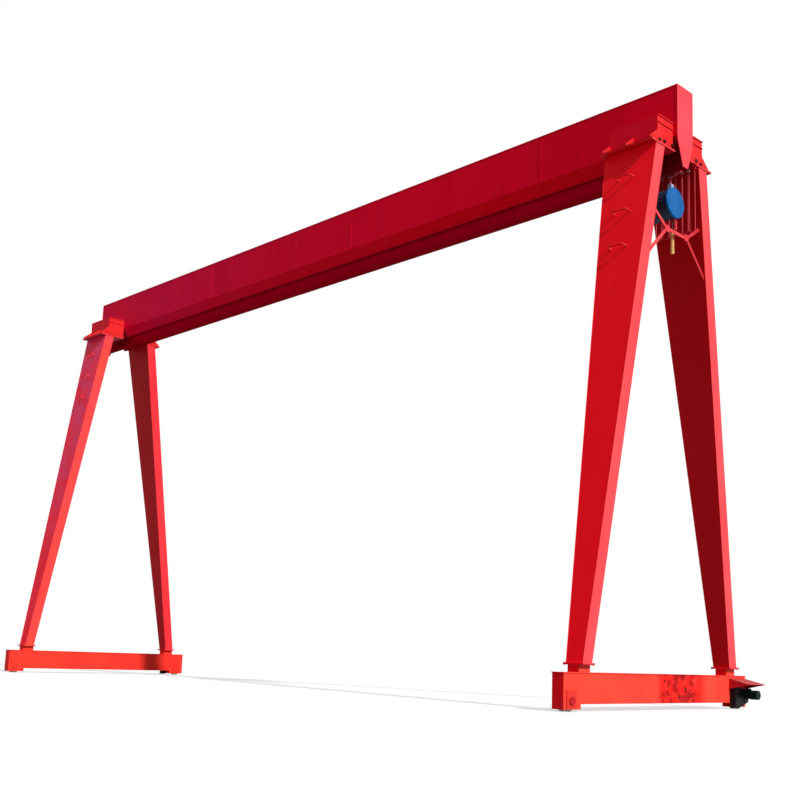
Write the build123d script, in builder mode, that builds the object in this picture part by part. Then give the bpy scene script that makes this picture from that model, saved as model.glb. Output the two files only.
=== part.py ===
from build123d import *
from math import atan2, cos, hypot, sin, sqrt
import os

# Single-girder gantry crane with a travelling wire-rope hoist.
# X runs along the girder, Y along the crane's own track, Z up, lengths in millimetres.
# The origin lies on the track, under the middle of the girder.

# Girder
girder_length = 16306
girder_top = 9000
girder_half_width = 202
web_depth = 790
girder_plate = 8
top_plate_thickness = 10
top_plate_lip = 6
end_plate_thickness = 12
end_plate_lip = 6
end_plate_shoulder_depth = 835
end_plate_depth = 1230

# I-beam that the hoist runs on
girder_depth = 1175
rail_depth = 220
rail_flange_width = 136
rail_flange_thickness = 14
rail_web_thickness = 10

# Legs and their two frames
near_overhang = 493
far_overhang = 646
leg_drop = 1030
leg_top_length = 870
leg_top_width = 214
leg_top_y = 567
leg_bottom_length = 260
leg_bottom_width = 200
leg_bottom_y = 1816
flange_thickness = 14
head_flange_length = 896
head_flange_outer_y = 800
foot_flange_margin = 28

# Saddle brackets between legs and girder
saddle_length = 820
saddle_reach = 400
saddle_drop = 590
saddle_plate = 16
saddle_plate_lip = 14
saddle_ledge_drop = 120
gusset_thickness = 12
gusset_height = 190
gusset_foot = 30

# Rungs on the outer faces of the front legs
rung_diameter = 22
rung_width = 250
rung_standoff = 90
rung_pitch = 545
rung_drop = 470
rung_count = 3
rung_offset = -25
rung_bend = 30

# Service brace between the legs of the near frame
brace_plane_inset = 50
brace_bar = 50
brace_bar_thickness = 6
brace_upper_drop = 920
brace_node_y = 260
brace_node_drop = 1160
brace_lower_drop = 1640

# Ground beams
beam_half_length = 2250
beam_width = 180
beam_bottom = 94
beam_top = 491
beam_side_plate = 12
beam_end_plate = 12
beam_lid_thickness = 12
beam_lid_lip = 10
pedestal_length = 176
pedestal_width = 240
pedestal_height = 106
housing_length = 360
housing_bottom = 30
cheek_thickness = 14
cheek_length = 200
cheek_height = 240
cap_radius = 55
cap_thickness = 15
boss_radius = 45

# Track wheels
wheel_radius = 135
wheel_tread_radius = 115
wheel_tread_width = 70
wheel_flange_width = 16
wheel_hub_radius = 45
wheel_web_thickness = 30
wheel_rim_thickness = 22
wheel_hub_width = 120
axle_radius = 25
wheel_gap = 10
bearing_clearance = 0.1
axle_end_gap = 1

# Travel drives
drive_case_depth = 76
drive_case_back = 305
drive_case_front = 85
drive_case_top = 335
drive_case_shoulder = 290
drive_case_knee = 105
drive_case_toe = 95
drive_case_bottom = 15
drive_rise = 80
motor_radius = 62
motor_length = 95
motor_cap_radius = 68
motor_cap_length = 118
motor_fin = 6
motor_fin_count = 12
motor_fin_depth = 5
hood_reach = 330
hood_thickness = 6
hood_drop = 78
hood_length = 480
hood_shift = 85
hood_top_z = 450
hood_rib = 10

# Hoist body under the rail
hoist_drop = 545
hoist_radius = 215
hoist_shell = 10
cover_radius = 231
cover_depth = 30
cover_round = 18
motor_section = 400
motor_groove_count = 30
motor_groove_start = 6
motor_groove_depth = 12
motor_groove_width = 18
drum_section = 590
gear_section = 140
gear_width = 400
gear_height = 430
gear_round = 60
gear_boss_radius = 120
gear_boss_depth = 30
drum_radius = 150
drum_opening_half = 120
drum_groove_count = 9
drum_groove_depth = 6

# Hoist trolleys
trolley_pitch = 450
trolley_plate_length = 300
trolley_plate_rise = 145
trolley_plate_drop = 165
trolley_plate_thickness = 12
trolley_plate_y = 80
trolley_bolt_drop = 105
trolley_bolt_radius = 15
trolley_nut_radius = 26
trolley_nut = 12
trolley_wheel_pitch = 150
trolley_wheel_radius = 60
trolley_wheel_flange_radius = 67
trolley_wheel_flange = 6
trolley_wheel_inner_y = 38
trolley_stub_radius = 15
lug_thickness = 60
lug_width = 60
running_gap = 0.3
drift_gap = 2

# Hoist fittings
terminal_box_length = 64
terminal_box_width = 64
terminal_box_height = 76
terminal_box_y = -40
gland_radius = 13
gland_height = 20
control_box_length = 130
control_box_depth = 140
control_box_height = 300
limit_rod_y = 100
limit_rod_length = 190
limit_rod_width = 30
limit_rod_thickness = 10
limit_plate_depth = 60
pendant_y = 30
pendant_drop = 400
pendant_height = 350
pendant_width = 44
pendant_depth = 40
pendant_round = 10
pendant_stem_radius = 7
pendant_inset = 80
pendant_clearance = 20

# Ropes, block and hook
rope_radius = 7
fall_grooves = 3
block_drop = 420
block_height = 260
block_length = 270
block_foot_length = 150
block_taper = 110
block_width = 96
block_round = 30
block_boss_radius = 46
block_boss = 10
crosshead_height = 50
crosshead_width = 80
hook_shank_radius = 20
hook_shank_length = 90
hook_outer_radius = 90
hook_inner_radius = 46
hook_thickness = 44
hook_offset = 10
hook_mouth = 62
hook_tip_radius = 21

# Cable festoon beside the rail
festoon_y = 330
festoon_rail_gap = 11
festoon_rail_width = 40
festoon_rail_height = 36
festoon_rail_plate = 3
festoon_slot = 14
festoon_far_inset = 253
festoon_root_margin = 15
festoon_arm_rise = 40
festoon_arm_thickness = 15
festoon_arm_width = 40
festoon_arm_count = 7
festoon_arm_margin = 1500
festoon_pad_length = 60
carrier_count = 7
festoon_spread = 785
carrier_length = 40
carrier_width = 30
carrier_block_height = 24
carrier_roller_radius = 11
carrier_stem = 8
carrier_drop = 20
cable_radius = 5
loop_depth = 950
loop_seat_gap = 0.5
loop_gap = 6
loop_round_share = 0.9
strand_gap = 4
tow_arm_width = 30
tow_arm_thickness = 10
tow_arm_offset = 11
tow_arm_lap = 25
hoist_cable_radius = 6
hoist_cable_sag = 20
hoist_cable_rise = 90
hoist_cable_bend = 40
overrun = 5

girder_half_length = girder_length / 2
near_frame_x = girder_half_length - near_overhang
far_frame_x = far_overhang - girder_half_length
frames = (("near", near_frame_x, 1), ("far", far_frame_x, -1))
sides = (("front", -1), ("back", 1))
under_top = (Align.CENTER, Align.CENTER, Align.MAX)


def save(piece, name):
    piece.part.label = name
    export_step(piece.part, f"parts/{name}.step")


os.makedirs("parts", exist_ok=True)

# Girder plates
girder_body_length = girder_length - 2 * end_plate_thickness
top_plate_bottom = girder_top - top_plate_thickness
web_bottom = girder_top - web_depth
rail_bottom = girder_top - girder_depth
rail_top = rail_bottom + rail_depth
rail_flange_half = rail_flange_width / 2
slope_height = web_bottom - rail_top
slope_run = girder_half_width - rail_flange_half
slope_plate_run = girder_plate * hypot(slope_height, slope_run) / slope_height


def slope_y(z):
    """Half-width of the sloped bottom plates at a height."""
    return rail_flange_half + slope_run * (z - rail_top) / slope_height


with BuildPart() as girder_top_plate:
    with BuildSketch(Plane.XY.offset(top_plate_bottom)):
        Rectangle(girder_body_length, 2 * (girder_half_width + top_plate_lip))
    extrude(amount=top_plate_thickness)
save(girder_top_plate, "girder_top_plate")

for side_name, side in sides:
    with BuildPart() as girder_web:
        with BuildSketch(Plane.XY.offset(web_bottom)):
            with Locations((0, side * (girder_half_width - girder_plate / 2))):
                Rectangle(girder_body_length, girder_plate)
        extrude(amount=top_plate_bottom - web_bottom)
    save(girder_web, f"girder_{side_name}_web")

# The bottom is one plate, bent to a trough that sits on the rail beam
trough_floor = rail_top + girder_plate
trough_floor_half = slope_y(trough_floor) - slope_plate_run
with BuildPart() as girder_trough:
    with BuildSketch(Plane.YZ.offset(-girder_body_length / 2)):
        Polygon(
            (-girder_half_width, web_bottom),
            (-rail_flange_half, rail_top),
            (rail_flange_half, rail_top),
            (girder_half_width, web_bottom),
            (girder_half_width - slope_plate_run, web_bottom),
            (trough_floor_half, trough_floor),
            (-trough_floor_half, trough_floor),
            (-girder_half_width + slope_plate_run, web_bottom),
            align=None,
        )
    extrude(amount=girder_body_length)
save(girder_trough, "girder_trough")

with BuildPart() as rail_beam:
    with BuildSketch(Plane.YZ.offset(-girder_body_length / 2)):
        half_flange = rail_flange_thickness / 2
        with Locations((0, rail_bottom + half_flange), (0, rail_top - half_flange)):
            Rectangle(rail_flange_width, rail_flange_thickness)
        with Locations((0, (rail_bottom + rail_top) / 2)):
            Rectangle(rail_web_thickness, rail_depth)
    extrude(amount=girder_body_length)
save(rail_beam, "rail_beam")

end_plate_half = girder_half_width + end_plate_lip
end_plate_shoulder = girder_top - end_plate_shoulder_depth
end_plate_tip = girder_top - end_plate_depth
for end_name, end in (("near", 1), ("far", -1)):
    with BuildPart() as end_plate:
        with BuildSketch(Plane.YZ.offset(end * (girder_half_length - end_plate_thickness / 2))):
            Polygon(
                (-end_plate_half, girder_top),
                (-end_plate_half, end_plate_shoulder),
                (-rail_flange_half, end_plate_tip),
                (rail_flange_half, end_plate_tip),
                (end_plate_half, end_plate_shoulder),
                (end_plate_half, girder_top),
                align=None,
            )
        extrude(amount=end_plate_thickness / 2, both=True)
    save(end_plate, f"girder_end_plate_{end_name}")

# Tapered legs with a flange at each end
leg_top_z = girder_top - leg_drop
head_flange_bottom = leg_top_z - flange_thickness
head_flange_width = head_flange_outer_y - girder_half_width
head_flange_y = (head_flange_outer_y + girder_half_width) / 2
pedestal_top = beam_top + pedestal_height
foot_flange_bottom = pedestal_top
foot_flange_length = leg_bottom_length + 2 * foot_flange_margin
foot_flange_width = leg_bottom_width + 2 * foot_flange_margin
leg_bottom_z = foot_flange_bottom + flange_thickness
leg_height = head_flange_bottom - leg_bottom_z


def leg_face_y(z, edge):
    """Distance of a leg's inner (-1) or outer (1) face from the girder's centre plane."""
    top = leg_top_y + edge * leg_top_width / 2
    bottom = leg_bottom_y + edge * leg_bottom_width / 2
    return bottom + (top - bottom) * (z - leg_bottom_z) / leg_height


for frame_name, frame_x, outward in frames:
    for side_name, side in sides:
        with BuildPart() as leg:
            with BuildSketch(Plane.XY.offset(leg_bottom_z)):
                with Locations((frame_x, side * leg_bottom_y)):
                    Rectangle(leg_bottom_length, leg_bottom_width)
            with BuildSketch(Plane.XY.offset(head_flange_bottom)):
                with Locations((frame_x, side * leg_top_y)):
                    Rectangle(leg_top_length, leg_top_width)
            loft(ruled=True)
            with BuildSketch(Plane.XY.offset(head_flange_bottom)):
                with Locations((frame_x, side * head_flange_y)):
                    Rectangle(head_flange_length, head_flange_width)
            extrude(amount=flange_thickness)
            with BuildSketch(Plane.XY.offset(foot_flange_bottom)):
                with Locations((frame_x, side * leg_bottom_y)):
                    Rectangle(foot_flange_length, foot_flange_width)
            extrude(amount=flange_thickness)
        save(leg, f"leg_{frame_name}_{side_name}")

# Saddle brackets, welded to the webs and seated on the legs
saddle_floor = leg_top_z + flange_thickness
saddle_top = girder_top - saddle_drop
saddle_ledge_z = saddle_top - saddle_ledge_drop
saddle_y = girder_half_width + saddle_reach / 2
gusset_y = girder_half_width + saddle_reach
for frame_name, frame_x, outward in frames:
    for side_name, side in sides:
        with BuildPart() as saddle:
            with BuildSketch(Plane.XY.offset(leg_top_z)):
                with Locations((frame_x, side * head_flange_y)):
                    Rectangle(head_flange_length, head_flange_width)
            extrude(amount=flange_thickness)
            with BuildSketch(Plane.XY.offset(saddle_floor)):
                with Locations((frame_x, side * saddle_y)):
                    Rectangle(saddle_length, saddle_reach)
            extrude(amount=saddle_top - saddle_floor)
            for lip_z in (saddle_ledge_z, saddle_top - saddle_plate):
                with BuildSketch(Plane.XY.offset(lip_z)):
                    with Locations((frame_x, side * saddle_y)):
                        Rectangle(saddle_length + 2 * saddle_plate_lip, saddle_reach)
                extrude(amount=saddle_plate)
            for place in (-1, 0, 1):
                gusset_x = frame_x + place * (saddle_length - gusset_thickness) / 2
                with BuildSketch(Plane.YZ.offset(gusset_x)):
                    Polygon(
                        (side * gusset_y, saddle_floor),
                        (side * head_flange_outer_y, saddle_floor),
                        (side * head_flange_outer_y, saddle_floor + gusset_foot),
                        (side * gusset_y, saddle_floor + gusset_height),
                        align=None,
                    )
                extrude(amount=gusset_thickness / 2, both=True)
        save(saddle, f"saddle_{frame_name}_{side_name}")

# Staple rungs, square to the outer faces of the front legs
rung_lean = atan2(leg_face_y(leg_bottom_z, 1) - leg_face_y(head_flange_bottom, 1), leg_height)
for frame_name, frame_x, outward in frames:
    with BuildPart() as rungs:
        for step in range(rung_count):
            rung_z = leg_top_z - rung_drop - step * rung_pitch
            rung_plane = Plane(
                origin=(frame_x + rung_offset, -leg_face_y(rung_z, 1), rung_z),
                x_dir=(1, 0, 0),
                z_dir=(0, sin(rung_lean), cos(rung_lean)),
            )
            with BuildLine(rung_plane) as staple:
                FilletPolyline(
                    (-rung_width / 2, 0),
                    (-rung_width / 2, -rung_standoff),
                    (rung_width / 2, -rung_standoff),
                    (rung_width / 2, 0),
                    radius=rung_bend,
                )
            with BuildSketch(Plane(staple.line @ 0, z_dir=staple.line % 0)):
                Circle(rung_diameter / 2)
            sweep(path=staple.line)
    save(rungs, f"rungs_{frame_name}")

# Service brace of angle bars between the near legs
brace_x = near_frame_x + leg_top_length / 2 - 2 * brace_plane_inset
brace_upper_z = leg_top_z - brace_upper_drop
brace_node_z = leg_top_z - brace_node_drop
brace_lower_z = leg_top_z - brace_lower_drop
brace_corners = []
for side_name, side in sides:
    upper = (side * leg_face_y(brace_upper_z, -1), brace_upper_z)
    middle = (side * brace_node_y, brace_node_z)
    lower = (side * leg_face_y(brace_lower_z, -1), brace_lower_z)
    brace_corners += [(upper, middle), (middle, lower)]
brace_corners.append(((-brace_node_y, brace_node_z), (brace_node_y, brace_node_z)))
leg_lean = atan2(leg_face_y(leg_bottom_z, -1) - leg_face_y(head_flange_bottom, -1), leg_height)
with BuildPart() as service_brace:
    for (start_y, start_z), (end_y, end_z) in brace_corners:
        run = hypot(end_y - start_y, end_z - start_z)
        bar_plane = Plane(
            origin=(brace_x, (start_y + end_y) / 2, (start_z + end_z) / 2),
            x_dir=(0, (end_y - start_y) / run, (end_z - start_z) / run),
            z_dir=(1, 0, 0),
        )
        with BuildSketch(bar_plane):
            Rectangle(run + brace_bar, brace_bar)
        extrude(amount=brace_bar_thickness)
        with BuildSketch(bar_plane):
            with Locations((0, (brace_bar - brace_bar_thickness) / 2)):
                Rectangle(run + brace_bar, brace_bar_thickness)
        extrude(amount=-(brace_bar - brace_bar_thickness))
    for side_name, side in sides:
        face = Plane(
            origin=(brace_x, side * leg_face_y(brace_node_z, -1), brace_node_z),
            z_dir=(0, side * cos(leg_lean), sin(leg_lean)),
        )
        split(bisect_by=face, keep=Keep.BOTTOM)
save(service_brace, "service_brace")

# Ground beams with a wheel bay at each end
wheel_y = beam_half_length - beam_end_plate - wheel_gap - wheel_radius
bay_half_length = wheel_radius + wheel_gap
bay_top = 2 * wheel_radius + wheel_gap
cheek_face = beam_width / 2 + cheek_thickness
for frame_name, frame_x, outward in frames:
    with BuildPart() as ground_beam:
        with BuildSketch(Plane.XY.offset(beam_bottom)):
            with Locations((frame_x, 0)):
                Rectangle(beam_width, 2 * beam_half_length)
        extrude(amount=beam_top - beam_bottom)
        with BuildSketch(Plane.XY.offset(beam_top - beam_lid_thickness)):
            with Locations((frame_x, 0)):
                Rectangle(beam_width + 2 * beam_lid_lip, 2 * (beam_half_length + beam_lid_lip))
        extrude(amount=beam_lid_thickness)
        with BuildSketch(Plane.XY.offset(beam_top)):
            for side_name, side in sides:
                with Locations((frame_x, side * leg_bottom_y)):
                    Rectangle(pedestal_length, pedestal_width)
        extrude(amount=pedestal_top - flange_thickness - beam_top)
        with BuildSketch(Plane.XY.offset(pedestal_top - flange_thickness)):
            for side_name, side in sides:
                with Locations((frame_x, side * leg_bottom_y)):
                    Rectangle(foot_flange_length, foot_flange_width)
        extrude(amount=flange_thickness)
        with BuildSketch(Plane.XY.offset(housing_bottom)):
            for side_name, side in sides:
                with Locations((frame_x, side * (beam_half_length - housing_length / 2))):
                    Rectangle(beam_width, housing_length)
        extrude(amount=beam_bottom - housing_bottom)
        with BuildSketch(Plane.XY.offset(housing_bottom)):
            for side_name, side in sides:
                with Locations((frame_x, side * wheel_y)):
                    Rectangle(2 * cheek_face, cheek_length)
        extrude(amount=cheek_height)
        with BuildSketch(Plane.XY.offset(housing_bottom - overrun)):
            for side_name, side in sides:
                with Locations((frame_x, side * wheel_y)):
                    Rectangle(beam_width - 2 * beam_side_plate, 2 * bay_half_length)
        extrude(amount=bay_top - housing_bottom + overrun, mode=Mode.SUBTRACT)
        for side_name, side in sides:
            for face_side in (-1, 1):
                boss_outer = face_side * (beam_width / 2 - beam_side_plate)
                boss_plane = Plane(
                    origin=(frame_x + boss_outer, side * wheel_y, wheel_radius),
                    z_dir=(-face_side, 0, 0),
                )
                with BuildSketch(boss_plane):
                    Circle(boss_radius)
                extrude(amount=abs(boss_outer) - wheel_hub_width / 2 - running_gap)
            bore_plane = Plane(
                origin=(frame_x, side * wheel_y, wheel_radius),
                z_dir=(1, 0, 0),
            )
            with BuildSketch(bore_plane):
                Circle(axle_radius + bearing_clearance)
            extrude(amount=cheek_face, both=True, mode=Mode.SUBTRACT)
            for face_side in (-1, 1):
                driven = side == 1 and face_side == outward
                if not driven:
                    cap_plane = Plane(
                        origin=(frame_x + face_side * cheek_face, side * wheel_y, wheel_radius),
                        z_dir=(face_side, 0, 0),
                    )
                    with BuildSketch(cap_plane):
                        Circle(cap_radius)
                    extrude(amount=cap_thickness)
        hood_inner = frame_x + outward * beam_width / 2
        hood_outer = hood_inner + outward * hood_reach
        with BuildSketch(Plane.XZ.offset(hood_shift - wheel_y)):
            Polygon(
                (hood_inner, hood_top_z),
                (hood_outer, hood_top_z - hood_drop),
                (hood_outer, hood_top_z - hood_drop - hood_thickness),
                (hood_inner, hood_top_z - hood_thickness),
                align=None,
            )
        extrude(amount=hood_length / 2, both=True)
        for rib_side in (-1, 1):
            rib_place = hood_shift - wheel_y - rib_side * (hood_length - hood_rib) / 2
            with BuildSketch(Plane.XZ.offset(rib_place)):
                Polygon(
                    (hood_inner, hood_top_z - hood_thickness),
                    (hood_outer, hood_top_z - hood_drop - hood_thickness),
                    (hood_inner, hood_top_z - 2 * hood_drop),
                    align=None,
                )
            extrude(amount=hood_rib / 2, both=True)
    save(ground_beam, f"ground_beam_{frame_name}")

# Double-flanged track wheels on their axles
axle_half = cheek_face - axle_end_gap
wheel_half = wheel_tread_width / 2 + wheel_flange_width
rim_inner = wheel_tread_radius - wheel_rim_thickness
for frame_name, frame_x, outward in frames:
    for side_name, side in sides:
        wheel_plane = Plane(origin=(frame_x, side * wheel_y, wheel_radius), x_dir=(1, 0, 0), z_dir=(0, -1, 0))
        with BuildPart() as wheel:
            with BuildSketch(wheel_plane):
                with BuildLine():
                    Polyline(
                        (0, 0),
                        (axle_half, 0),
                        (axle_half, axle_radius),
                        (wheel_hub_width / 2, axle_radius),
                        (wheel_hub_width / 2, wheel_hub_radius),
                        (wheel_web_thickness / 2, wheel_hub_radius),
                        (wheel_web_thickness / 2, rim_inner),
                        (wheel_half, rim_inner),
                        (wheel_half, wheel_radius),
                        (wheel_tread_width / 2, wheel_radius),
                        (wheel_tread_width / 2, wheel_tread_radius),
                        (0, wheel_tread_radius),
                        close=True,
                    )
                make_face()
                mirror(about=Plane.YZ)
            revolve(axis=Axis(wheel_plane.origin, (1, 0, 0)))
        save(wheel, f"wheel_{frame_name}_{side_name}")

# Travel drive on the back wheel of each frame
drive_top = wheel_radius + drive_rise
for frame_name, frame_x, outward in frames:
    case_face = frame_x + outward * cheek_face
    motor_face = case_face + outward * drive_case_depth
    with BuildPart() as drive_gearbox:
        with BuildSketch(Plane.YZ.offset(case_face)):
            Polygon(
                (wheel_y - drive_case_back, drive_case_top),
                (wheel_y - drive_case_back, drive_case_bottom),
                (wheel_y - drive_case_back + drive_case_toe, drive_case_bottom),
                (wheel_y + drive_case_front, drive_case_knee),
                (wheel_y + drive_case_front, drive_case_shoulder),
                align=None,
            )
        extrude(amount=outward * drive_case_depth)
    save(drive_gearbox, f"drive_gearbox_{frame_name}")
    with BuildPart() as drive_motor:
        with BuildSketch(Plane(origin=(motor_face, wheel_y, drive_top), z_dir=(outward, 0, 0))):
            Circle(motor_radius - motor_fin_depth)
            with PolarLocations(motor_radius - motor_fin_depth, motor_fin_count):
                Rectangle(2 * motor_fin_depth, motor_fin)
        extrude(amount=motor_length)
        motor_cap_face = motor_face + outward * motor_length
        with BuildSketch(Plane(origin=(motor_cap_face, wheel_y, drive_top), z_dir=(outward, 0, 0))):
            Circle(motor_cap_radius)
        extrude(amount=motor_cap_length)
    save(drive_motor, f"drive_motor_{frame_name}")

# Hoist body, from the motor's end cover to the gear case
hoist_axis_z = rail_bottom - hoist_drop
brace_inner_x = brace_x - brace_bar + brace_bar_thickness
pendant_x = brace_inner_x - pendant_clearance - pendant_depth / 2
hoist_end_x = pendant_x + pendant_inset
cover_face = hoist_end_x - cover_depth
motor_end = cover_face - motor_section
drum_end = motor_end - drum_section


def hoist_plane(x):
    """Plane across the hoist's axis at x, facing the near end."""
    return Plane(origin=(x, 0, hoist_axis_z), x_dir=(0, 1, 0), z_dir=(1, 0, 0))


with BuildPart() as hoist_end_cover:
    with BuildSketch(hoist_plane(cover_face)):
        Circle(cover_radius)
    extrude(amount=cover_depth)
    fillet(hoist_end_cover.edges().group_by(Axis.X)[-1], cover_round)
save(hoist_end_cover, "hoist_end_cover")

with BuildPart() as hoist_motor:
    with BuildSketch(hoist_plane(motor_end)):
        Circle(hoist_radius)
        with PolarLocations(hoist_radius, motor_groove_count, start_angle=motor_groove_start):
            Rectangle(2 * motor_groove_depth, motor_groove_width, mode=Mode.SUBTRACT)
    extrude(amount=motor_section)
save(hoist_motor, "hoist_motor")

trolley_middle = motor_end - drum_section / 2
trolley_xs = (trolley_middle - trolley_pitch / 2, trolley_middle + trolley_pitch / 2)
lug_base_z = hoist_axis_z + hoist_radius - hoist_shell
trolley_bolt_z = rail_bottom - trolley_bolt_drop
with BuildPart() as hoist_drum_housing:
    with BuildSketch(hoist_plane(drum_end)):
        Circle(hoist_radius)
        Circle(hoist_radius - hoist_shell, mode=Mode.SUBTRACT)
        with Locations((0, -hoist_radius)):
            Rectangle(2 * drum_opening_half, hoist_radius, mode=Mode.SUBTRACT)
    extrude(amount=drum_section)
    for trolley_x in trolley_xs:
        with BuildSketch(Plane.YZ.offset(trolley_x - lug_width / 2)):
            with Locations((0, lug_base_z)):
                Rectangle(lug_thickness, trolley_bolt_z - lug_base_z, align=(Align.CENTER, Align.MIN))
        extrude(amount=lug_width)
        lug_plane = Plane(origin=(trolley_x, 0, trolley_bolt_z), x_dir=(1, 0, 0), z_dir=(0, 1, 0))
        with BuildSketch(lug_plane):
            Circle(lug_width / 2)
        extrude(amount=lug_thickness / 2, both=True)
        with BuildSketch(lug_plane):
            Circle(trolley_bolt_radius + bearing_clearance)
        extrude(amount=lug_thickness, both=True, mode=Mode.SUBTRACT)
save(hoist_drum_housing, "hoist_drum_housing")

groove_pitch = (drum_section - 2 * running_gap) / (2 * drum_groove_count + 1)
with BuildPart() as hoist_drum:
    with BuildSketch(hoist_plane(drum_end + running_gap)):
        Circle(drum_radius - drum_groove_depth)
    extrude(amount=drum_section - 2 * running_gap)
    for turn in range(drum_groove_count):
        with BuildSketch(hoist_plane(drum_end + running_gap + (2 * turn + 1) * groove_pitch)):
            Circle(drum_radius)
        extrude(amount=groove_pitch)
save(hoist_drum, "hoist_drum")

with BuildPart() as hoist_gear_case:
    with BuildSketch(hoist_plane(drum_end - gear_section)):
        RectangleRounded(gear_width, gear_height, gear_round)
    extrude(amount=gear_section)
    with BuildSketch(hoist_plane(drum_end - gear_section)):
        Circle(gear_boss_radius)
    extrude(amount=-gear_boss_depth)
save(hoist_gear_case, "hoist_gear_case")

# Two trolleys astride the rail's lower flange
plate_outer_y = trolley_plate_y + trolley_plate_thickness
wheel_centre_z = rail_bottom + rail_flange_thickness + trolley_wheel_radius + running_gap
trolley_plate_middle = rail_bottom + (trolley_plate_rise - trolley_plate_drop) / 2
trolley_plate_near_x = trolley_xs[1] - trolley_plate_length / 2
tow_x = trolley_plate_near_x - tow_arm_offset
tow_arm_start = tow_x - tow_arm_width / 2
tow_arm_end = trolley_plate_near_x + tow_arm_lap
festoon_root_x = tow_x + festoon_spread
festoon_rail_top = head_flange_bottom - festoon_rail_gap
tow_arm_reach = festoon_y - carrier_width / 2 - running_gap - plate_outer_y
carrier_base_z = festoon_rail_top - festoon_rail_height - carrier_drop
clamp_bottom = carrier_base_z - carrier_block_height
wheel_xs = []
for trolley_x in trolley_xs:
    wheel_xs += [trolley_x - trolley_wheel_pitch / 2, trolley_x + trolley_wheel_pitch / 2]
trolley_plate_height = trolley_plate_rise + trolley_plate_drop
with BuildPart() as hoist_trolley_frame:
    for trolley_x in trolley_xs:
        for side_name, side in sides:
            with BuildSketch(Plane.XZ.offset(-side * trolley_plate_y)):
                with Locations((trolley_x, trolley_plate_middle)):
                    RectangleRounded(trolley_plate_length, trolley_plate_height, lug_width / 2)
            extrude(amount=-side * trolley_plate_thickness)
        bolt_plane = Plane(origin=(trolley_x, 0, trolley_bolt_z), x_dir=(1, 0, 0), z_dir=(0, 1, 0))
        with BuildSketch(bolt_plane):
            Circle(trolley_bolt_radius)
        extrude(amount=plate_outer_y + trolley_nut, both=True)
        for side_name, side in sides:
            nut_plane = Plane(
                origin=(trolley_x, side * plate_outer_y, trolley_bolt_z),
                x_dir=(1, 0, 0),
                z_dir=(0, side, 0),
            )
            with BuildSketch(nut_plane):
                RegularPolygon(trolley_nut_radius, 6)
            extrude(amount=trolley_nut)
    with Locations((tow_arm_start, plate_outer_y, clamp_bottom)):
        tow_arm_align = (Align.MIN, Align.MIN, Align.MIN)
        Box(tow_arm_end - tow_arm_start, tow_arm_reach, tow_arm_thickness, align=tow_arm_align)
    with BuildSketch(Plane.XZ.offset(-plate_outer_y)):
        for wheel_x in wheel_xs:
            with Locations((wheel_x, wheel_centre_z)):
                Circle(trolley_stub_radius + bearing_clearance)
    extrude(amount=2 * plate_outer_y, mode=Mode.SUBTRACT)
save(hoist_trolley_frame, "hoist_trolley_frame")

flange_inner_y = rail_flange_half + drift_gap
with BuildPart() as hoist_trolley_wheels:
    for wheel_x in wheel_xs:
        for side_name, side in sides:
            hub_plane = Plane(
                origin=(wheel_x, side * trolley_wheel_inner_y, wheel_centre_z),
                x_dir=(1, 0, 0),
                z_dir=(0, side, 0),
            )
            with BuildSketch(hub_plane):
                Circle(trolley_wheel_radius)
            extrude(amount=flange_inner_y - trolley_wheel_inner_y)
            with BuildSketch(hub_plane.offset(flange_inner_y - trolley_wheel_inner_y)):
                Circle(trolley_wheel_flange_radius)
            extrude(amount=trolley_wheel_flange)
            with BuildSketch(hub_plane):
                Circle(trolley_stub_radius)
            extrude(amount=plate_outer_y - trolley_wheel_inner_y)
save(hoist_trolley_wheels, "hoist_trolley_wheels")

# Boxes and small fittings on the hoist
box_x = cover_face - terminal_box_length / 2
box_edge_y = abs(terminal_box_y) + terminal_box_width / 2
box_base_z = hoist_axis_z + sqrt(hoist_radius**2 - box_edge_y**2)
box_top_z = box_base_z + terminal_box_height
with BuildPart() as hoist_terminal_box:
    with BuildSketch(Plane.XY.offset(hoist_axis_z)):
        with Locations((box_x, terminal_box_y)):
            Rectangle(terminal_box_length, terminal_box_width)
    extrude(amount=box_top_z - hoist_axis_z)
    with BuildSketch(hoist_plane(motor_end)):
        Circle(hoist_radius)
    extrude(amount=motor_section, mode=Mode.SUBTRACT)
    with BuildSketch(Plane.XY.offset(box_top_z)):
        with Locations((box_x, terminal_box_y)):
            Circle(gland_radius)
    extrude(amount=gland_height)
save(hoist_terminal_box, "hoist_terminal_box")

with BuildPart() as hoist_control_box:
    with BuildSketch(Plane.XY.offset(hoist_axis_z - control_box_height / 2)):
        with Locations((drum_end - gear_section / 2, gear_width / 2)):
            Rectangle(control_box_length, control_box_depth, align=(Align.CENTER, Align.MIN))
    extrude(amount=control_box_height)
save(hoist_control_box, "hoist_control_box")

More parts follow.
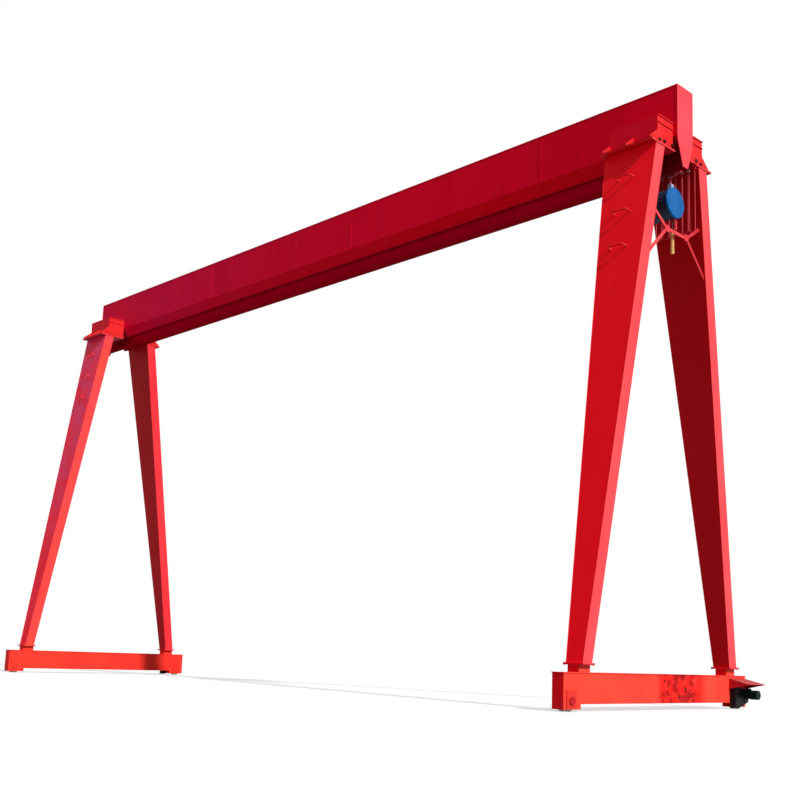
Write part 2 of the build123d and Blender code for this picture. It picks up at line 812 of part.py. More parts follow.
rod_edge_y = limit_rod_y + limit_rod_width / 2
rod_seat_z = hoist_axis_z - sqrt(hoist_radius**2 - rod_edge_y**2)
rod_x = cover_face - limit_plate_depth / 2
with BuildPart() as hoist_limit_lever:
    with BuildSketch(Plane.XY.offset(rod_seat_z - limit_rod_length)):
        with Locations((rod_x, limit_rod_y)):
            Rectangle(limit_rod_thickness, limit_rod_width)
    extrude(amount=hoist_axis_z - rod_seat_z + limit_rod_length)
    with BuildSketch(Plane.XY.offset(rod_seat_z - limit_rod_thickness)):
        with Locations((rod_x, limit_rod_y)):
            Rectangle(limit_plate_depth, 2 * limit_rod_width)
    extrude(amount=hoist_axis_z - rod_seat_z + limit_rod_thickness)
    with BuildSketch(hoist_plane(motor_end)):
        Circle(hoist_radius)
    extrude(amount=motor_section, mode=Mode.SUBTRACT)
    with BuildSketch(Plane.XY.offset(hoist_axis_z)):
        with Locations((rod_x, limit_rod_y)):
            Rectangle(hoist_radius, hoist_radius)
    extrude(amount=hoist_radius, mode=Mode.SUBTRACT)
save(hoist_limit_lever, "hoist_limit_lever")

pendant_top_z = hoist_axis_z - pendant_drop
with BuildPart() as pendant_station:
    with BuildSketch(Plane.XY.offset(pendant_top_z - pendant_height)):
        with Locations((pendant_x, pendant_y)):
            RectangleRounded(pendant_depth, pendant_width, pendant_round)
    extrude(amount=pendant_height)
save(pendant_station, "pendant_station")

stem_top = hoist_axis_z - sqrt(hoist_radius**2 - (pendant_y - pendant_stem_radius) ** 2)
with BuildPart() as pendant_stem:
    with BuildSketch(Plane.XY.offset(pendant_top_z)):
        with Locations((pendant_x, pendant_y)):
            Circle(pendant_stem_radius)
    extrude(amount=stem_top - pendant_top_z)
save(pendant_stem, "pendant_stem")

# Rope falls, block and hook
block_top_z = hoist_axis_z - block_drop
rope_top = hoist_axis_z - drum_radius + drum_groove_depth - running_gap
fall_offset = fall_grooves * groove_pitch
fall_xs = (trolley_middle - fall_offset, trolley_middle + fall_offset)
with BuildPart() as hoist_ropes:
    with BuildSketch(Plane.XY.offset(block_top_z)):
        for fall_x in fall_xs:
            with Locations((fall_x, 0)):
                Circle(rope_radius)
    extrude(amount=rope_top - block_top_z)
save(hoist_ropes, "hoist_ropes")

block_bottom = block_top_z - block_height
block_half = block_length / 2
block_foot_half = block_foot_length / 2
with BuildPart() as hook_block:
    with BuildSketch(Plane.XZ):
        with Locations((trolley_middle, block_bottom)):
            Polygon(
                (-block_foot_half, 0),
                (block_foot_half, 0),
                (block_half, block_taper),
                (block_half, block_height),
                (-block_half, block_height),
                (-block_half, block_taper),
                align=None,
            )
        fillet(vertices(), block_round)
    extrude(amount=block_width / 2, both=True)
    with BuildSketch(Plane.XZ):
        with Locations((trolley_middle, block_top_z - block_height / 2)):
            Circle(block_boss_radius)
    extrude(amount=block_width / 2 + block_boss, both=True)
    with Locations((trolley_middle, 0, block_bottom)):
        Box(crosshead_width, crosshead_width, crosshead_height, align=under_top)
save(hook_block, "hook_block")

shank_top = block_bottom - crosshead_height
bowl_z = shank_top - hook_shank_length - hook_inner_radius
with BuildPart() as hook:
    with BuildSketch(Plane.XZ):
        with Locations((trolley_middle, bowl_z)):
            Circle(hook_outer_radius)
        with Locations((trolley_middle - hook_shank_radius, bowl_z)):
            Rectangle(2 * hook_shank_radius, shank_top - bowl_z, align=(Align.MIN, Align.MIN))
        with Locations((trolley_middle, bowl_z + hook_offset)):
            Circle(hook_inner_radius, mode=Mode.SUBTRACT)
        with Locations((trolley_middle + hook_shank_radius, bowl_z + hook_offset)):
            Rectangle(hook_outer_radius, hook_mouth, align=(Align.MIN, Align.MIN), mode=Mode.SUBTRACT)
        tip_x = trolley_middle + (hook_inner_radius + hook_outer_radius) / 2
        with Locations((tip_x, bowl_z + hook_offset)):
            Circle(hook_tip_radius)
    extrude(amount=hook_thickness / 2, both=True)
save(hook, "hook")

# Festoon rail with its arms
rail_inner_width = festoon_rail_width - 2 * festoon_rail_plate
rail_mid_z = festoon_rail_top - festoon_rail_height / 2
festoon_end_x = festoon_root_x + festoon_root_margin
festoon_far_x = festoon_far_inset - girder_half_length
festoon_arm_z = rail_top + festoon_arm_rise
festoon_length = festoon_end_x - festoon_far_x
arm_outer_y = festoon_y + festoon_arm_thickness / 2
arm_first_x = festoon_far_x + festoon_arm_margin
arm_pitch = (festoon_length - 2 * festoon_arm_margin) / (festoon_arm_count - 1)
with BuildPart() as festoon_rail:
    with BuildSketch(Plane.YZ.offset(festoon_far_x)):
        with Locations((festoon_y, rail_mid_z)):
            Rectangle(festoon_rail_width, festoon_rail_height)
            Rectangle(rail_inner_width, festoon_rail_height - 2 * festoon_rail_plate, mode=Mode.SUBTRACT)
        with Locations((festoon_y, festoon_rail_top - festoon_rail_height)):
            Rectangle(festoon_slot, 2 * festoon_rail_plate + overrun, mode=Mode.SUBTRACT)
    extrude(amount=festoon_length)
    for arm in range(festoon_arm_count):
        arm_top = festoon_arm_z + festoon_arm_thickness
        with BuildSketch(Plane.YZ.offset(arm_first_x + arm * arm_pitch)):
            Polygon(
                (slope_y(festoon_arm_z), festoon_arm_z),
                (arm_outer_y - festoon_arm_thickness, festoon_arm_z),
                (arm_outer_y - festoon_arm_thickness, festoon_rail_top),
                (arm_outer_y, festoon_rail_top),
                (arm_outer_y, arm_top),
                (slope_y(arm_top), arm_top),
                align=None,
            )
        extrude(amount=festoon_arm_width / 2, both=True)
    for frame_name, frame_x, outward in frames:
        with BuildSketch(Plane.XY.offset(festoon_rail_top)):
            for pad_side in (-1, 1):
                with Locations((frame_x + pad_side * leg_top_length / 4, festoon_y)):
                    Rectangle(festoon_pad_length, festoon_rail_width)
        extrude(amount=head_flange_bottom - festoon_rail_top)
    with BuildSketch(Plane.XY.offset(clamp_bottom)):
        with Locations((festoon_root_x, festoon_y)):
            Rectangle(carrier_length / 2, carrier_width)
    extrude(amount=festoon_rail_top - festoon_rail_height - clamp_bottom)
save(festoon_rail, "festoon_rail")

# Cable carriers, gathered between the cable's root and the hoist's tow arm. The hoist
# pushes the last one, and each of the others goes an equal share of the way less.
rail_lip_z = festoon_rail_top - festoon_rail_height + festoon_rail_plate
roller_z = rail_lip_z + carrier_roller_radius + running_gap


carrier_pitch = festoon_spread / carrier_count
clamp_xs = [festoon_root_x - number * carrier_pitch for number in range(carrier_count + 1)]
for number in range(1, carrier_count + 1):
    carrier_x = clamp_xs[number]
    with BuildPart() as carrier:
        with BuildSketch(Plane.XY.offset(clamp_bottom)):
            with Locations((carrier_x, festoon_y)):
                Rectangle(carrier_length, carrier_width)
        extrude(amount=carrier_block_height)
        with BuildSketch(Plane.XY.offset(carrier_base_z)):
            with Locations((carrier_x, festoon_y)):
                Rectangle(carrier_stem, carrier_stem)
        extrude(amount=roller_z - carrier_base_z)
        roller_plane = Plane(origin=(carrier_x, festoon_y, roller_z), x_dir=(1, 0, 0), z_dir=(0, 1, 0))
        with BuildSketch(roller_plane):
            Circle(carrier_roller_radius)
        extrude(amount=rail_inner_width / 2 - drift_gap, both=True)
    save(carrier, f"festoon_carrier_{number}")

strand_offset = cable_radius + strand_gap
loop_bottom = clamp_bottom - loop_depth
for number in range(1, carrier_count + 1):
    right_x = clamp_xs[number - 1]
    left_x = clamp_xs[number]
    middle_x = (right_x + left_x) / 2
    bulge = (carrier_pitch - loop_gap) / 2 - cable_radius
    with BuildPart() as loop:
        with BuildLine(Plane.XZ.offset(-festoon_y)) as strand:
            FilletPolyline(
                (right_x - strand_offset, clamp_bottom - loop_seat_gap),
                (middle_x + bulge, loop_bottom),
                (middle_x - bulge, loop_bottom),
                (left_x + strand_offset, clamp_bottom - loop_seat_gap),
                radius=bulge * loop_round_share,
            )
        with BuildSketch(Plane(strand.line @ 0, z_dir=strand.line % 0)):
            Circle(cable_radius)
        sweep(path=strand.line)
    save(loop, f"festoon_loop_{number}")

# Cable from the tow clamp to the hoist's terminal box
cable_lead_y = plate_outer_y + (festoon_y - plate_outer_y) / 2
cable_z = clamp_bottom + tow_arm_thickness / 2
gland_top = box_top_z + gland_height
with BuildPart() as hoist_cable:
    with BuildLine() as lead:
        FilletPolyline(
            (tow_arm_end + loop_seat_gap, cable_lead_y, cable_z),
            (hoist_end_x, cable_lead_y, cable_z - hoist_cable_sag),
            (box_x, terminal_box_y, gland_top + hoist_cable_rise),
            (box_x, terminal_box_y, gland_top),
            radius=hoist_cable_bend,
        )
    with BuildSketch(Plane(lead.line @ 0, z_dir=lead.line % 0)):
        Circle(hoist_cable_radius)
    sweep(path=lead.line)
save(hoist_cable, "hoist_cable")
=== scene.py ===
import bpy
import bmesh
import math
import random
from mathutils import Matrix, Vector


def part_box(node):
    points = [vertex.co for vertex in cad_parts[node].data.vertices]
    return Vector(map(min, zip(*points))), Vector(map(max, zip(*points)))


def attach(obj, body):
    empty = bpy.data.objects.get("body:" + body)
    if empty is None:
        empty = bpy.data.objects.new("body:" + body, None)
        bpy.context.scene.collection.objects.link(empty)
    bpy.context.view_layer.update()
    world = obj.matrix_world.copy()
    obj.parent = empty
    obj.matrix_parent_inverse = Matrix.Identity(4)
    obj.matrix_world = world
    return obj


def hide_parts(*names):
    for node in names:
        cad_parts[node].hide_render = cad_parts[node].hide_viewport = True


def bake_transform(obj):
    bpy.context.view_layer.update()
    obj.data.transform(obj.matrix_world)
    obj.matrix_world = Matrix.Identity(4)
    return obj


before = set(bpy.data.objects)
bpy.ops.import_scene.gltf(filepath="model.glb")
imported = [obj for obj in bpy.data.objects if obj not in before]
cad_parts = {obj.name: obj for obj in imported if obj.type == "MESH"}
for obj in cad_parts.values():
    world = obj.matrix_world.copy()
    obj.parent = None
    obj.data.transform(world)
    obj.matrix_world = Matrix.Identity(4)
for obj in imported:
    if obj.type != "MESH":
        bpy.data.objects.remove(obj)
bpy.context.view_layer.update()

scene = bpy.context.scene
scene.view_settings.view_transform = "Standard"
xAxis, yAxis, zAxis = Vector((1, 0, 0)), Vector((0, 1, 0)), Vector((0, 0, 1))
rng = random.Random(11)

# Camera at the photograph's place, angles in degrees
viewpoint = {"place": (16.387, -13.600, 0.615), "heading": 45.769, "pitch": 8.702, "roll": 1.847,
             "lens": 50.417, "sensor": 36, "shift": 0.10625, "sight": 400}


def makeCamera():
    heading, pitch, roll = (math.radians(viewpoint[key]) for key in ("heading", "pitch", "roll"))
    forward = Vector((-math.sin(heading) * math.cos(pitch), math.cos(heading) * math.cos(pitch),
                      math.sin(pitch)))
    level = Vector((math.cos(heading), math.sin(heading), 0))
    above = level.cross(forward)
    right = level * math.cos(roll) + above * math.sin(roll)
    up = above * math.cos(roll) - level * math.sin(roll)
    turned = Matrix((right, up, -forward)).transposed().to_4x4()
    data = bpy.data.cameras.new("camera")
    data.lens = viewpoint["lens"]
    data.sensor_width = viewpoint["sensor"]
    data.shift_y = viewpoint["shift"]
    data.clip_end = viewpoint["sight"]
    camera = bpy.data.objects.new("camera", data)
    camera.matrix_world = Matrix.Translation(viewpoint["place"]) @ turned
    scene.collection.objects.link(camera)
    scene.camera = camera


makeCamera()
print("camera made")


def fromBmesh(name, bm, finish, body, smooth=False):
    mesh = bpy.data.meshes.new(name)
    bm.to_mesh(mesh)
    bm.free()
    mesh.materials.append(finishes[finish])
    mesh.polygons.foreach_set("use_smooth", [smooth] * len(mesh.polygons))
    piece = bpy.data.objects.new(name, mesh)
    scene.collection.objects.link(piece)
    if body:  # a piece without a body stays unattached
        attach(piece, body)
    return piece


def facing(axis, at):  # matrix whose Z is axis
    return Matrix.Translation(at) @ Vector(axis).to_track_quat("Z", "Y").to_matrix().to_4x4()


def circle(count, start=0.0):  # angles round a circle
    return [start + 2 * math.pi * step / count for step in range(count)]


def aroundX(x, y, z, radius, a):  # a place on a circle that faces along X
    return (x, y + radius * math.cos(a), z + radius * math.sin(a))


def addRound(bm, at, axis, radius, height, sides=20, tip=None, turn=0.0):
    matrix = facing(axis, at) @ Matrix.Rotation(turn, 4, "Z") @ Matrix.Translation((0, 0, height / 2))
    bmesh.ops.create_cone(bm, cap_ends=True, segments=sides, radius1=radius,
                          radius2=radius if tip is None else tip, depth=height, matrix=matrix)


def addBox(bm, low, high, soften=0.0):
    low, high = Vector(low), Vector(high)
    matrix = Matrix.Translation((low + high) / 2) @ Matrix.Diagonal((*(high - low), 1))
    made = bmesh.ops.create_cube(bm, size=1, matrix=matrix)
    if soften:
        edges = list(dict.fromkeys(edge for vert in made["verts"] for edge in vert.link_edges))
        bmesh.ops.bevel(bm, geom=edges, offset=soften, segments=2, affect="EDGES", profile=0.6)


# Proportions of a bolt to the radius of its hexagon, and of a weld bead to its radius
bolt = {"washer": 1.18, "washerHigh": 0.16, "headHigh": 0.52, "chamferHigh": 0.12, "chamfer": 0.86}
weld = {"thin": 0.82, "ripple": 0.3, "uneven": 0.12, "ends": 0.4}


def addBolt(bm, at, axis, size):  # washer, hexagon head, chamfered top, at a turn of its own
    axis = Vector(axis)
    at = Vector(at)
    turn = rng.random()
    chamferFrom = bolt["washerHigh"] + bolt["headHigh"]
    addRound(bm, at, axis, size * bolt["washer"], size * bolt["washerHigh"])
    addRound(bm, at + axis * size * bolt["washerHigh"], axis, size, size * bolt["headHigh"], 6, turn=turn)
    addRound(bm, at + axis * size * chamferFrom, axis, size, size * bolt["chamferHigh"], 6,
             tip=size * bolt["chamfer"], turn=turn)


def joinRings(bm, first, second):
    count = len(first)
    for side in range(count):
        after = (side + 1) % count
        bm.faces.new((first[side], first[after], second[after], second[side]))


def addRing(bm, at, axis, radius, wire, around=40, sides=8):
    base = facing(axis, at)
    rings = []
    for turn in circle(around):
        section = [(radius + wire * math.cos(a), wire * math.sin(a)) for a in circle(sides)]
        rings.append([bm.verts.new(base @ Vector((r * math.cos(turn), r * math.sin(turn), z)))
                      for r, z in section])
    for first, second in zip(rings, rings[1:] + rings[:1]):
        joinRings(bm, first, second)


def addTube(bm, points, radius, sides=8, radii=None):  # its section is carried along, so it doesn't twist
    points = [Vector(p) for p in points]
    tangents = []
    for index in range(len(points)):
        before, after = points[max(index - 1, 0)], points[min(index + 1, len(points) - 1)]
        tangents.append((after - before).normalized())
    side = tangents[0].orthogonal().normalized()
    rings = []
    for index, point in enumerate(points):
        side = (side - tangents[index] * side.dot(tangents[index])).normalized()
        other = tangents[index].cross(side)
        r = radii[index] if radii else radius
        rings.append([bm.verts.new(point + (side * math.cos(a) + other * math.sin(a)) * r)
                      for a in circle(sides)])
    for first, second in zip(rings, rings[1:]):
        joinRings(bm, first, second)
    bm.faces.new(rings[0][::-1])
    bm.faces.new(rings[-1])


def addBead(bm, start, end, radius, step):  # hand-laid weld, a ripple of uneven width
    start, end = Vector(start), Vector(end)
    count = max(int((end - start).length / step), 2)
    points, radii = [], []
    for index in range(count + 1):
        uneven = rng.uniform(-weld["uneven"], weld["uneven"])
        points.append(start.lerp(end, index / count))
        radii.append(radius * (weld["thin"] + weld["ripple"] * (index % 2) + uneven))
    radii[0] = radii[-1] = radius * weld["ends"]
    addTube(bm, points, radius, 6, radii)


def addBeadLoop(bm, corners, radius, step):
    for start, end in zip(corners, corners[1:] + corners[:1]):
        addBead(bm, start, end, radius, step)


def groupWith(name, inputs, outputs):
    group = bpy.data.node_groups.new(name, "ShaderNodeTree")
    for label, value in inputs.items():
        kind = "NodeSocketVector" if isinstance(value, tuple) else "NodeSocketFloat"
        group.interface.new_socket(label, in_out="INPUT", socket_type=kind).default_value = value
    for label in outputs:
        group.interface.new_socket(label, in_out="OUTPUT", socket_type="NodeSocketFloat")
    given, result = group.nodes.new("NodeGroupInput"), group.nodes.new("NodeGroupOutput")
    return group, given.outputs, result.inputs


def nodeIn(tree, kind, settings=None, **inputs):  # an input is named, or numbered as i0, i1
    made = tree.nodes.new(kind)
    for key, value in (settings or {}).items():
        setattr(made, key, value)
    for key, value in inputs.items():
        numbered = key[0] == "i" and key[1:].isdigit()
        socket = made.inputs[int(key[1:]) if numbered else key.replace("_", " ")]
        if isinstance(value, bpy.types.NodeSocket):
            tree.links.new(value, socket)
        else:
            socket.default_value = value
    return made


def maths(tree, operation, a, b=0.0, clamp=False):
    settings = {"operation": operation, "use_clamp": clamp}
    return nodeIn(tree, "ShaderNodeMath", settings, i0=a, i1=b).outputs[0]


def plus(tree, a, b, clamp=False):
    return maths(tree, "ADD", a, b, clamp)


def times(tree, a, b, clamp=False):
    return maths(tree, "MULTIPLY", a, b, clamp)


def without(tree, mask, clamp=False):
    return maths(tree, "SUBTRACT", 1.0, mask, clamp)


def masked(tree, first, second, amount):  # where both masks hold, by an amount
    return times(tree, times(tree, first, second), amount, True)


def mixColour(tree, share, first, second):
    return nodeIn(tree, "ShaderNodeMix", {"data_type": "RGBA"}, i0=share, i6=first, i7=second).outputs[2]


def opaque(colour, depth=1.0):
    return (*(c * depth for c in colour), 1)


def ramped(tree, value, low, high):
    return nodeIn(tree, "ShaderNodeMapRange", {"interpolation_type": "SMOOTHSTEP"}, Value=value,
                  From_Min=low, From_Max=high).outputs[0]


def objectPlace(tree):
    return tree.nodes.new("ShaderNodeTexCoord").outputs["Object"]


def faceNormal(tree):
    return tree.nodes.new("ShaderNodeNewGeometry").outputs["Normal"]


def partOf(tree, vector, letter):
    return nodeIn(tree, "ShaderNodeSeparateXYZ", Vector=vector).outputs[letter]


def dotProduct(tree, first, second):
    made = nodeIn(tree, "ShaderNodeVectorMath", {"operation": "DOT_PRODUCT"}, i0=first, i1=second)
    return made.outputs["Value"]


def noise(tree, scale, detail=3.0, rough=0.55, stretch=(1, 1, 1)):
    vector = nodeIn(tree, "ShaderNodeMapping", Vector=objectPlace(tree), Scale=stretch).outputs[0]
    return nodeIn(tree, "ShaderNodeTexNoise", Vector=vector, Scale=scale, Detail=detail,
                  Roughness=rough).outputs[0]


def makeToneGroup():  # broad patches, rain streaks down the plates, small blotches
    group, given, result = groupWith("paintTone", {"Patch Scale": 1.0, "Streak Scale": 6.0},
                                     ("Patches", "Streaks", "Blotches"))
    patches = noise(group, given["Patch Scale"], 4.0, stretch=(1, 1, 0.6))
    streaks = noise(group, given["Streak Scale"], 5.0, 0.6, stretch=(1, 1, 0.07))
    blotches = noise(group, times(group, given["Patch Scale"], 9.0), 4.0, 0.62)
    group.links.new(ramped(group, patches, 0.36, 0.66), result["Patches"])
    group.links.new(ramped(group, streaks, 0.47, 0.74), result["Streaks"])
    group.links.new(ramped(group, blotches, 0.56, 0.72), result["Blotches"])
    return group


def makeEdgeGroup():  # worn where the bevelled normal leaves the face's own, broken up by noise
    group, given, result = groupWith("edgeWear", {"Width": 0.006, "Amount": 0.5, "Grain": 18.0}, ("Worn",))
    rounded = nodeIn(group, "ShaderNodeBevel", {"samples": 4}, Radius=given["Width"]).outputs[0]
    edge = ramped(group, without(group, dotProduct(group, rounded, faceNormal(group))), 0.02, 0.2)
    broken = ramped(group, noise(group, given["Grain"], 6.0, 0.7), 0.46, 0.62)
    group.links.new(masked(group, edge, broken, given["Amount"]), result["Worn"])
    return group


def makeDustGroup():  # dust on what faces up, grime low down
    group, given, result = groupWith("settledDust", {"Amount": 0.4, "Low Grime": 0.0}, ("Dust", "Grime"))
    upward = ramped(group, partOf(group, faceNormal(group), "Z"), 0.5, 0.98)
    low = without(group, ramped(group, partOf(group, objectPlace(group), "Z"), 0.03, 0.36))
    broken = ramped(group, noise(group, 7.0, 5.0, 0.62), 0.35, 0.7)
    group.links.new(masked(group, upward, broken, given["Amount"]), result["Dust"])
    group.links.new(masked(group, low, broken, given["Low Grime"]), result["Grime"])
    return group


def makePeelGroup():  # orange peel of sprayed paint, and the pull of the plates between their welds
    group, given, result = groupWith("paintPeel", {"Peel": 0.3, "Plate Wave": 0.3}, ("Height",))
    peel = times(group, noise(group, 160.0, 2.0), given["Peel"])
    wave = times(group, noise(group, 1.7, 1.0), times(group, given["Plate Wave"], 14.0))
    group.links.new(plus(group, peel, wave), result["Height"])
    return group


def makePaintedSunlightGroup():  # painted sunlight: faces toward the sun get the colour they show in sunlight, mostly lighter and pinker, uneven
    group, given, result = groupWith("paintedSunSide", {"Amount": 0.8}, ("Sunlit",))
    sunward = ramped(group, partOf(group, faceNormal(group), "X"), 0.4, 0.95)
    patches = ramped(group, noise(group, 1.3, 4.0, stretch=(1, 1, 0.5)), 0.3, 0.7)
    uneven = plus(group, 0.72, times(group, patches, 0.28))
    group.links.new(masked(group, sunward, uneven, given["Amount"]), result["Sunlit"])
    return group


def makePaintedShadeGroup():  # painted shade: faces that look down are darkened, standing in for the shade beneath them
    group, given, result = groupWith("paintedShade", {"Amount": 1.0}, ("Shaded",))
    downward = times(group, partOf(group, faceNormal(group), "Z"), -1.0)
    paintedShade = times(group, ramped(group, downward, 0.07, 0.16), given["Amount"], True)
    group.links.new(paintedShade, result["Shaded"])
    return group


def makeZoneGroup():  # a stretch along one axis, with broken edges and blotches
    stretch = {"Axis": (0, 0, 1), "From": 0.0, "To": 1.0, "Grain": 4.0, "Low": 0.3, "High": 0.7}
    group, given, result = groupWith("paintZone", stretch, ("Zone",))
    along = dotProduct(group, objectPlace(group), given["Axis"])
    share = ramped(group, along, given["From"], given["To"])
    broken = ramped(group, noise(group, given["Grain"], 5.0, 0.6), given["Low"], given["High"])
    group.links.new(times(group, share, broken, True), result["Zone"])
    return group


toneGroup, edgeGroup, dustGroup = makeToneGroup(), makeEdgeGroup(), makeDustGroup()
peelGroup, paintedSunlightGroup, paintedShadeGroup = makePeelGroup(), makePaintedSunlightGroup(), makePaintedShadeGroup()
zoneGroup = makeZoneGroup()


def startMaterial(name):
    material = bpy.data.materials.new(name)
    material.use_nodes = True
    tree = material.node_tree
    return material, tree, tree.nodes["Principled BSDF"]


def useGroup(tree, group, **inputs):
    made = tree.nodes.new("ShaderNodeGroup")
    made.node_tree = group
    for key, value in inputs.items():
        made.inputs[key.replace("_", " ")].default_value = value
    return made.outputs


def addBump(tree, shader, height, strength, distance):
    bump = nodeIn(tree, "ShaderNodeBump", Strength=strength, Distance=distance, Height=height)
    tree.links.new(bump.outputs[0], shader.inputs["Normal"])


stains = {"grime": (0.10, 0.035, 0.025), "dust": (0.42, 0.28, 0.22), "rust": (0.17, 0.055, 0.02),
          "grease": (0.02, 0.018, 0.015)}
# Each paint can carry painted sunlight on the faces toward the sun (an amount and its colour) and painted
# shade on the faces that look down (an amount and the depth of its colour)
paintDefaults = {
    "colour": (0.6, 0.01, 0.02), "deep": 0.62, "faded": (0.75, 0.02, 0.02), "fade": 0.35, "patchScale": 0.7,
    "streakScale": 7.0, "streaks": 0.3, "blotches": 0.0, "wear": 0.4, "wearWidth": 0.006,
    "under": (0.16, 0.035, 0.02), "dust": 0.25, "grime": 0.0, "peel": 0.25, "wave": 0.3, "rough": 0.45,
    "shine": 0.06, "sunlightAmount": 0.0, "paintedSunlight": (0.84, 0.060, 0.058), "shadeAmount": 0.44, "paintedShade": 0.06,
    "zones": (), "marks": ()}


def zoned(tree, colour, zones):
    for zone in zones:
        (start, full), (low, high) = zone["span"], zone["broken"]
        share = useGroup(tree, zoneGroup, Axis=zone["axis"], From=start, To=full, Grain=zone["grain"],
                         Low=low, High=high)["Zone"]
        if "until" in zone:
            start, full = zone["until"]
            beyond = useGroup(tree, zoneGroup, Axis=zone["axis"], From=start, To=full, Grain=1.0,
                              Low=-1.0, High=0.0)["Zone"]
            share = times(tree, share, without(tree, beyond))
        colour = mixColour(tree, times(tree, share, zone["amount"]), colour, opaque(zone["colour"]))
    return colour


def paintMaterial(name, **changes):  # from the paint itself out to what lies on it
    look = {**paintDefaults, **changes}
    material, tree, shader = startMaterial(name)
    tone = useGroup(tree, toneGroup, Patch_Scale=look["patchScale"], Streak_Scale=look["streakScale"])
    worn = useGroup(tree, edgeGroup, Width=look["wearWidth"], Amount=look["wear"])["Worn"]
    settled = useGroup(tree, dustGroup, Amount=look["dust"], Low_Grime=look["grime"])
    height = useGroup(tree, peelGroup, Peel=look["peel"], Plate_Wave=look["wave"])["Height"]
    dark = opaque(look["colour"], look["deep"])
    patches = times(tree, tone["Patches"], look["fade"])
    colour = mixColour(tree, patches, opaque(look["colour"]), opaque(look["faded"]))
    colour = zoned(tree, colour, look["zones"])
    # Painted sunlight on the faces toward the sun
    if look["sunlightAmount"]:
        paintedSunlight = useGroup(tree, paintedSunlightGroup, Amount=look["sunlightAmount"])["Sunlit"]
        colour = mixColour(tree, paintedSunlight, colour, opaque(look["paintedSunlight"]))
    # Painted shade on the faces that look down
    paintedShade = useGroup(tree, paintedShadeGroup, Amount=look["shadeAmount"])["Shaded"]
    colour = mixColour(tree, paintedShade, colour, opaque(look["colour"], look["paintedShade"]))
    colour = mixColour(tree, times(tree, tone["Streaks"], look["streaks"]), colour, dark)
    colour = mixColour(tree, times(tree, tone["Blotches"], look["blotches"]), colour, dark)
    colour = zoned(tree, colour, look["marks"])
    colour = mixColour(tree, settled["Grime"], colour, opaque(stains["grime"]))
    colour = mixColour(tree, settled["Dust"], colour, opaque(stains["dust"]))
    colour = mixColour(tree, worn, colour, opaque(look["under"]))
    tree.links.new(colour, shader.inputs["Base Color"])
    rough = plus(tree, look["rough"], times(tree, tone["Streaks"], 0.12))
    rough = plus(tree, rough, times(tree, plus(tree, settled["Dust"], worn), 0.35), True)
    tree.links.new(rough, shader.inputs["Roughness"])
    shader.inputs["Specular IOR Level"].default_value = look["shine"]
    addBump(tree, shader, height, 0.35, 0.0012)
    return material


def steelMaterial(name, colour=(0.42, 0.41, 0.40), rough=0.38, rust=0.25, brush=(1, 1, 40), grease=0.0,
                  metal=0.9):  # brushed, with freckles of rust and smears of grease
    material, tree, shader = startMaterial(name)
    lines = noise(tree, 22.0, 3.0, 0.6, stretch=brush)
    freckles = times(tree, ramped(tree, noise(tree, 30.0, 6.0, 0.7), 0.5, 0.66), rust)
    smears = times(tree, ramped(tree, noise(tree, 9.0), 0.42, 0.6), grease)
    shade = mixColour(tree, ramped(tree, lines, 0.3, 0.75), opaque(colour, 0.72), opaque(colour))
    shade = mixColour(tree, freckles, shade, opaque(stains["rust"]))
    shade = mixColour(tree, smears, shade, opaque(stains["grease"]))
    tree.links.new(shade, shader.inputs["Base Color"])
    clean = without(tree, plus(tree, freckles, smears), True)
    tree.links.new(times(tree, clean, metal), shader.inputs["Metallic"])
    rusted = plus(tree, times(tree, freckles, 0.35), rough - 0.08)
    tree.links.new(plus(tree, times(tree, lines, 0.2), rusted, True), shader.inputs["Roughness"])
    addBump(tree, shader, lines, 0.3, 0.0006)
    return material


def plasticMaterial(name, colour, rough=0.6, dusty=0.25):  # cable sheath or moulded plastic, scuffed
    material, tree, shader = startMaterial(name)
    scuffs = ramped(tree, noise(tree, 24.0, 5.0, 0.65), 0.48, 0.72)
    streaks = ramped(tree, noise(tree, 11.0, stretch=(1, 1, 0.3)), 0.45, 0.7)
    pale = (*(0.6 * c + 0.08 for c in colour), 1)
    shade = mixColour(tree, times(tree, scuffs, dusty), opaque(colour), pale)
    shade = mixColour(tree, times(tree, streaks, 0.4), shade, opaque(colour, 0.6))
    tree.links.new(shade, shader.inputs["Base Color"])
    tree.links.new(plus(tree, rough, times(tree, scuffs, 0.15), True), shader.inputs["Roughness"])
    shader.inputs["Specular IOR Level"].default_value = 0.25
    addBump(tree, shader, noise(tree, 300.0, 2.0), 0.4, 0.0004)
    return material


# Stretches where the paint has another look: a mark rises over its span, and ends where "until" rises
farTint = dict(axis=(-1, 0, 0), span=(-3.0, 8.5), grain=0.35, broken=(0.1, 0.6), amount=0.6,
               colour=(0.62, 0.004, 0.080))
highBlotches = dict(axis=(0, 0, 1), span=(2.0, 5.5), grain=2.2, broken=(0.34, 0.60), amount=0.85,
                    colour=(0.76, 0.045, 0.15))
beamRubbed = dict(axis=(0, 1, 0), span=(-0.20, 0.0), until=(0.90, 1.20), grain=9.0, broken=(0.28, 0.50),
                  amount=0.9, colour=(0.82, 0.010, 0.006))
beamScuffs = dict(axis=(0, 1, 0), span=(-0.14, 0.02), until=(0.80, 1.0), grain=7.5, broken=(0.49, 0.56),
                  amount=0.85, colour=(0.34, 0.0010, 0.003))
beamSpots = dict(axis=(0, 1, 0), span=(-0.10, 0.05), until=(0.70, 0.95), grain=12.0, broken=(0.57, 0.61),
                 amount=0.85, colour=(0.035, 0.004, 0.006))
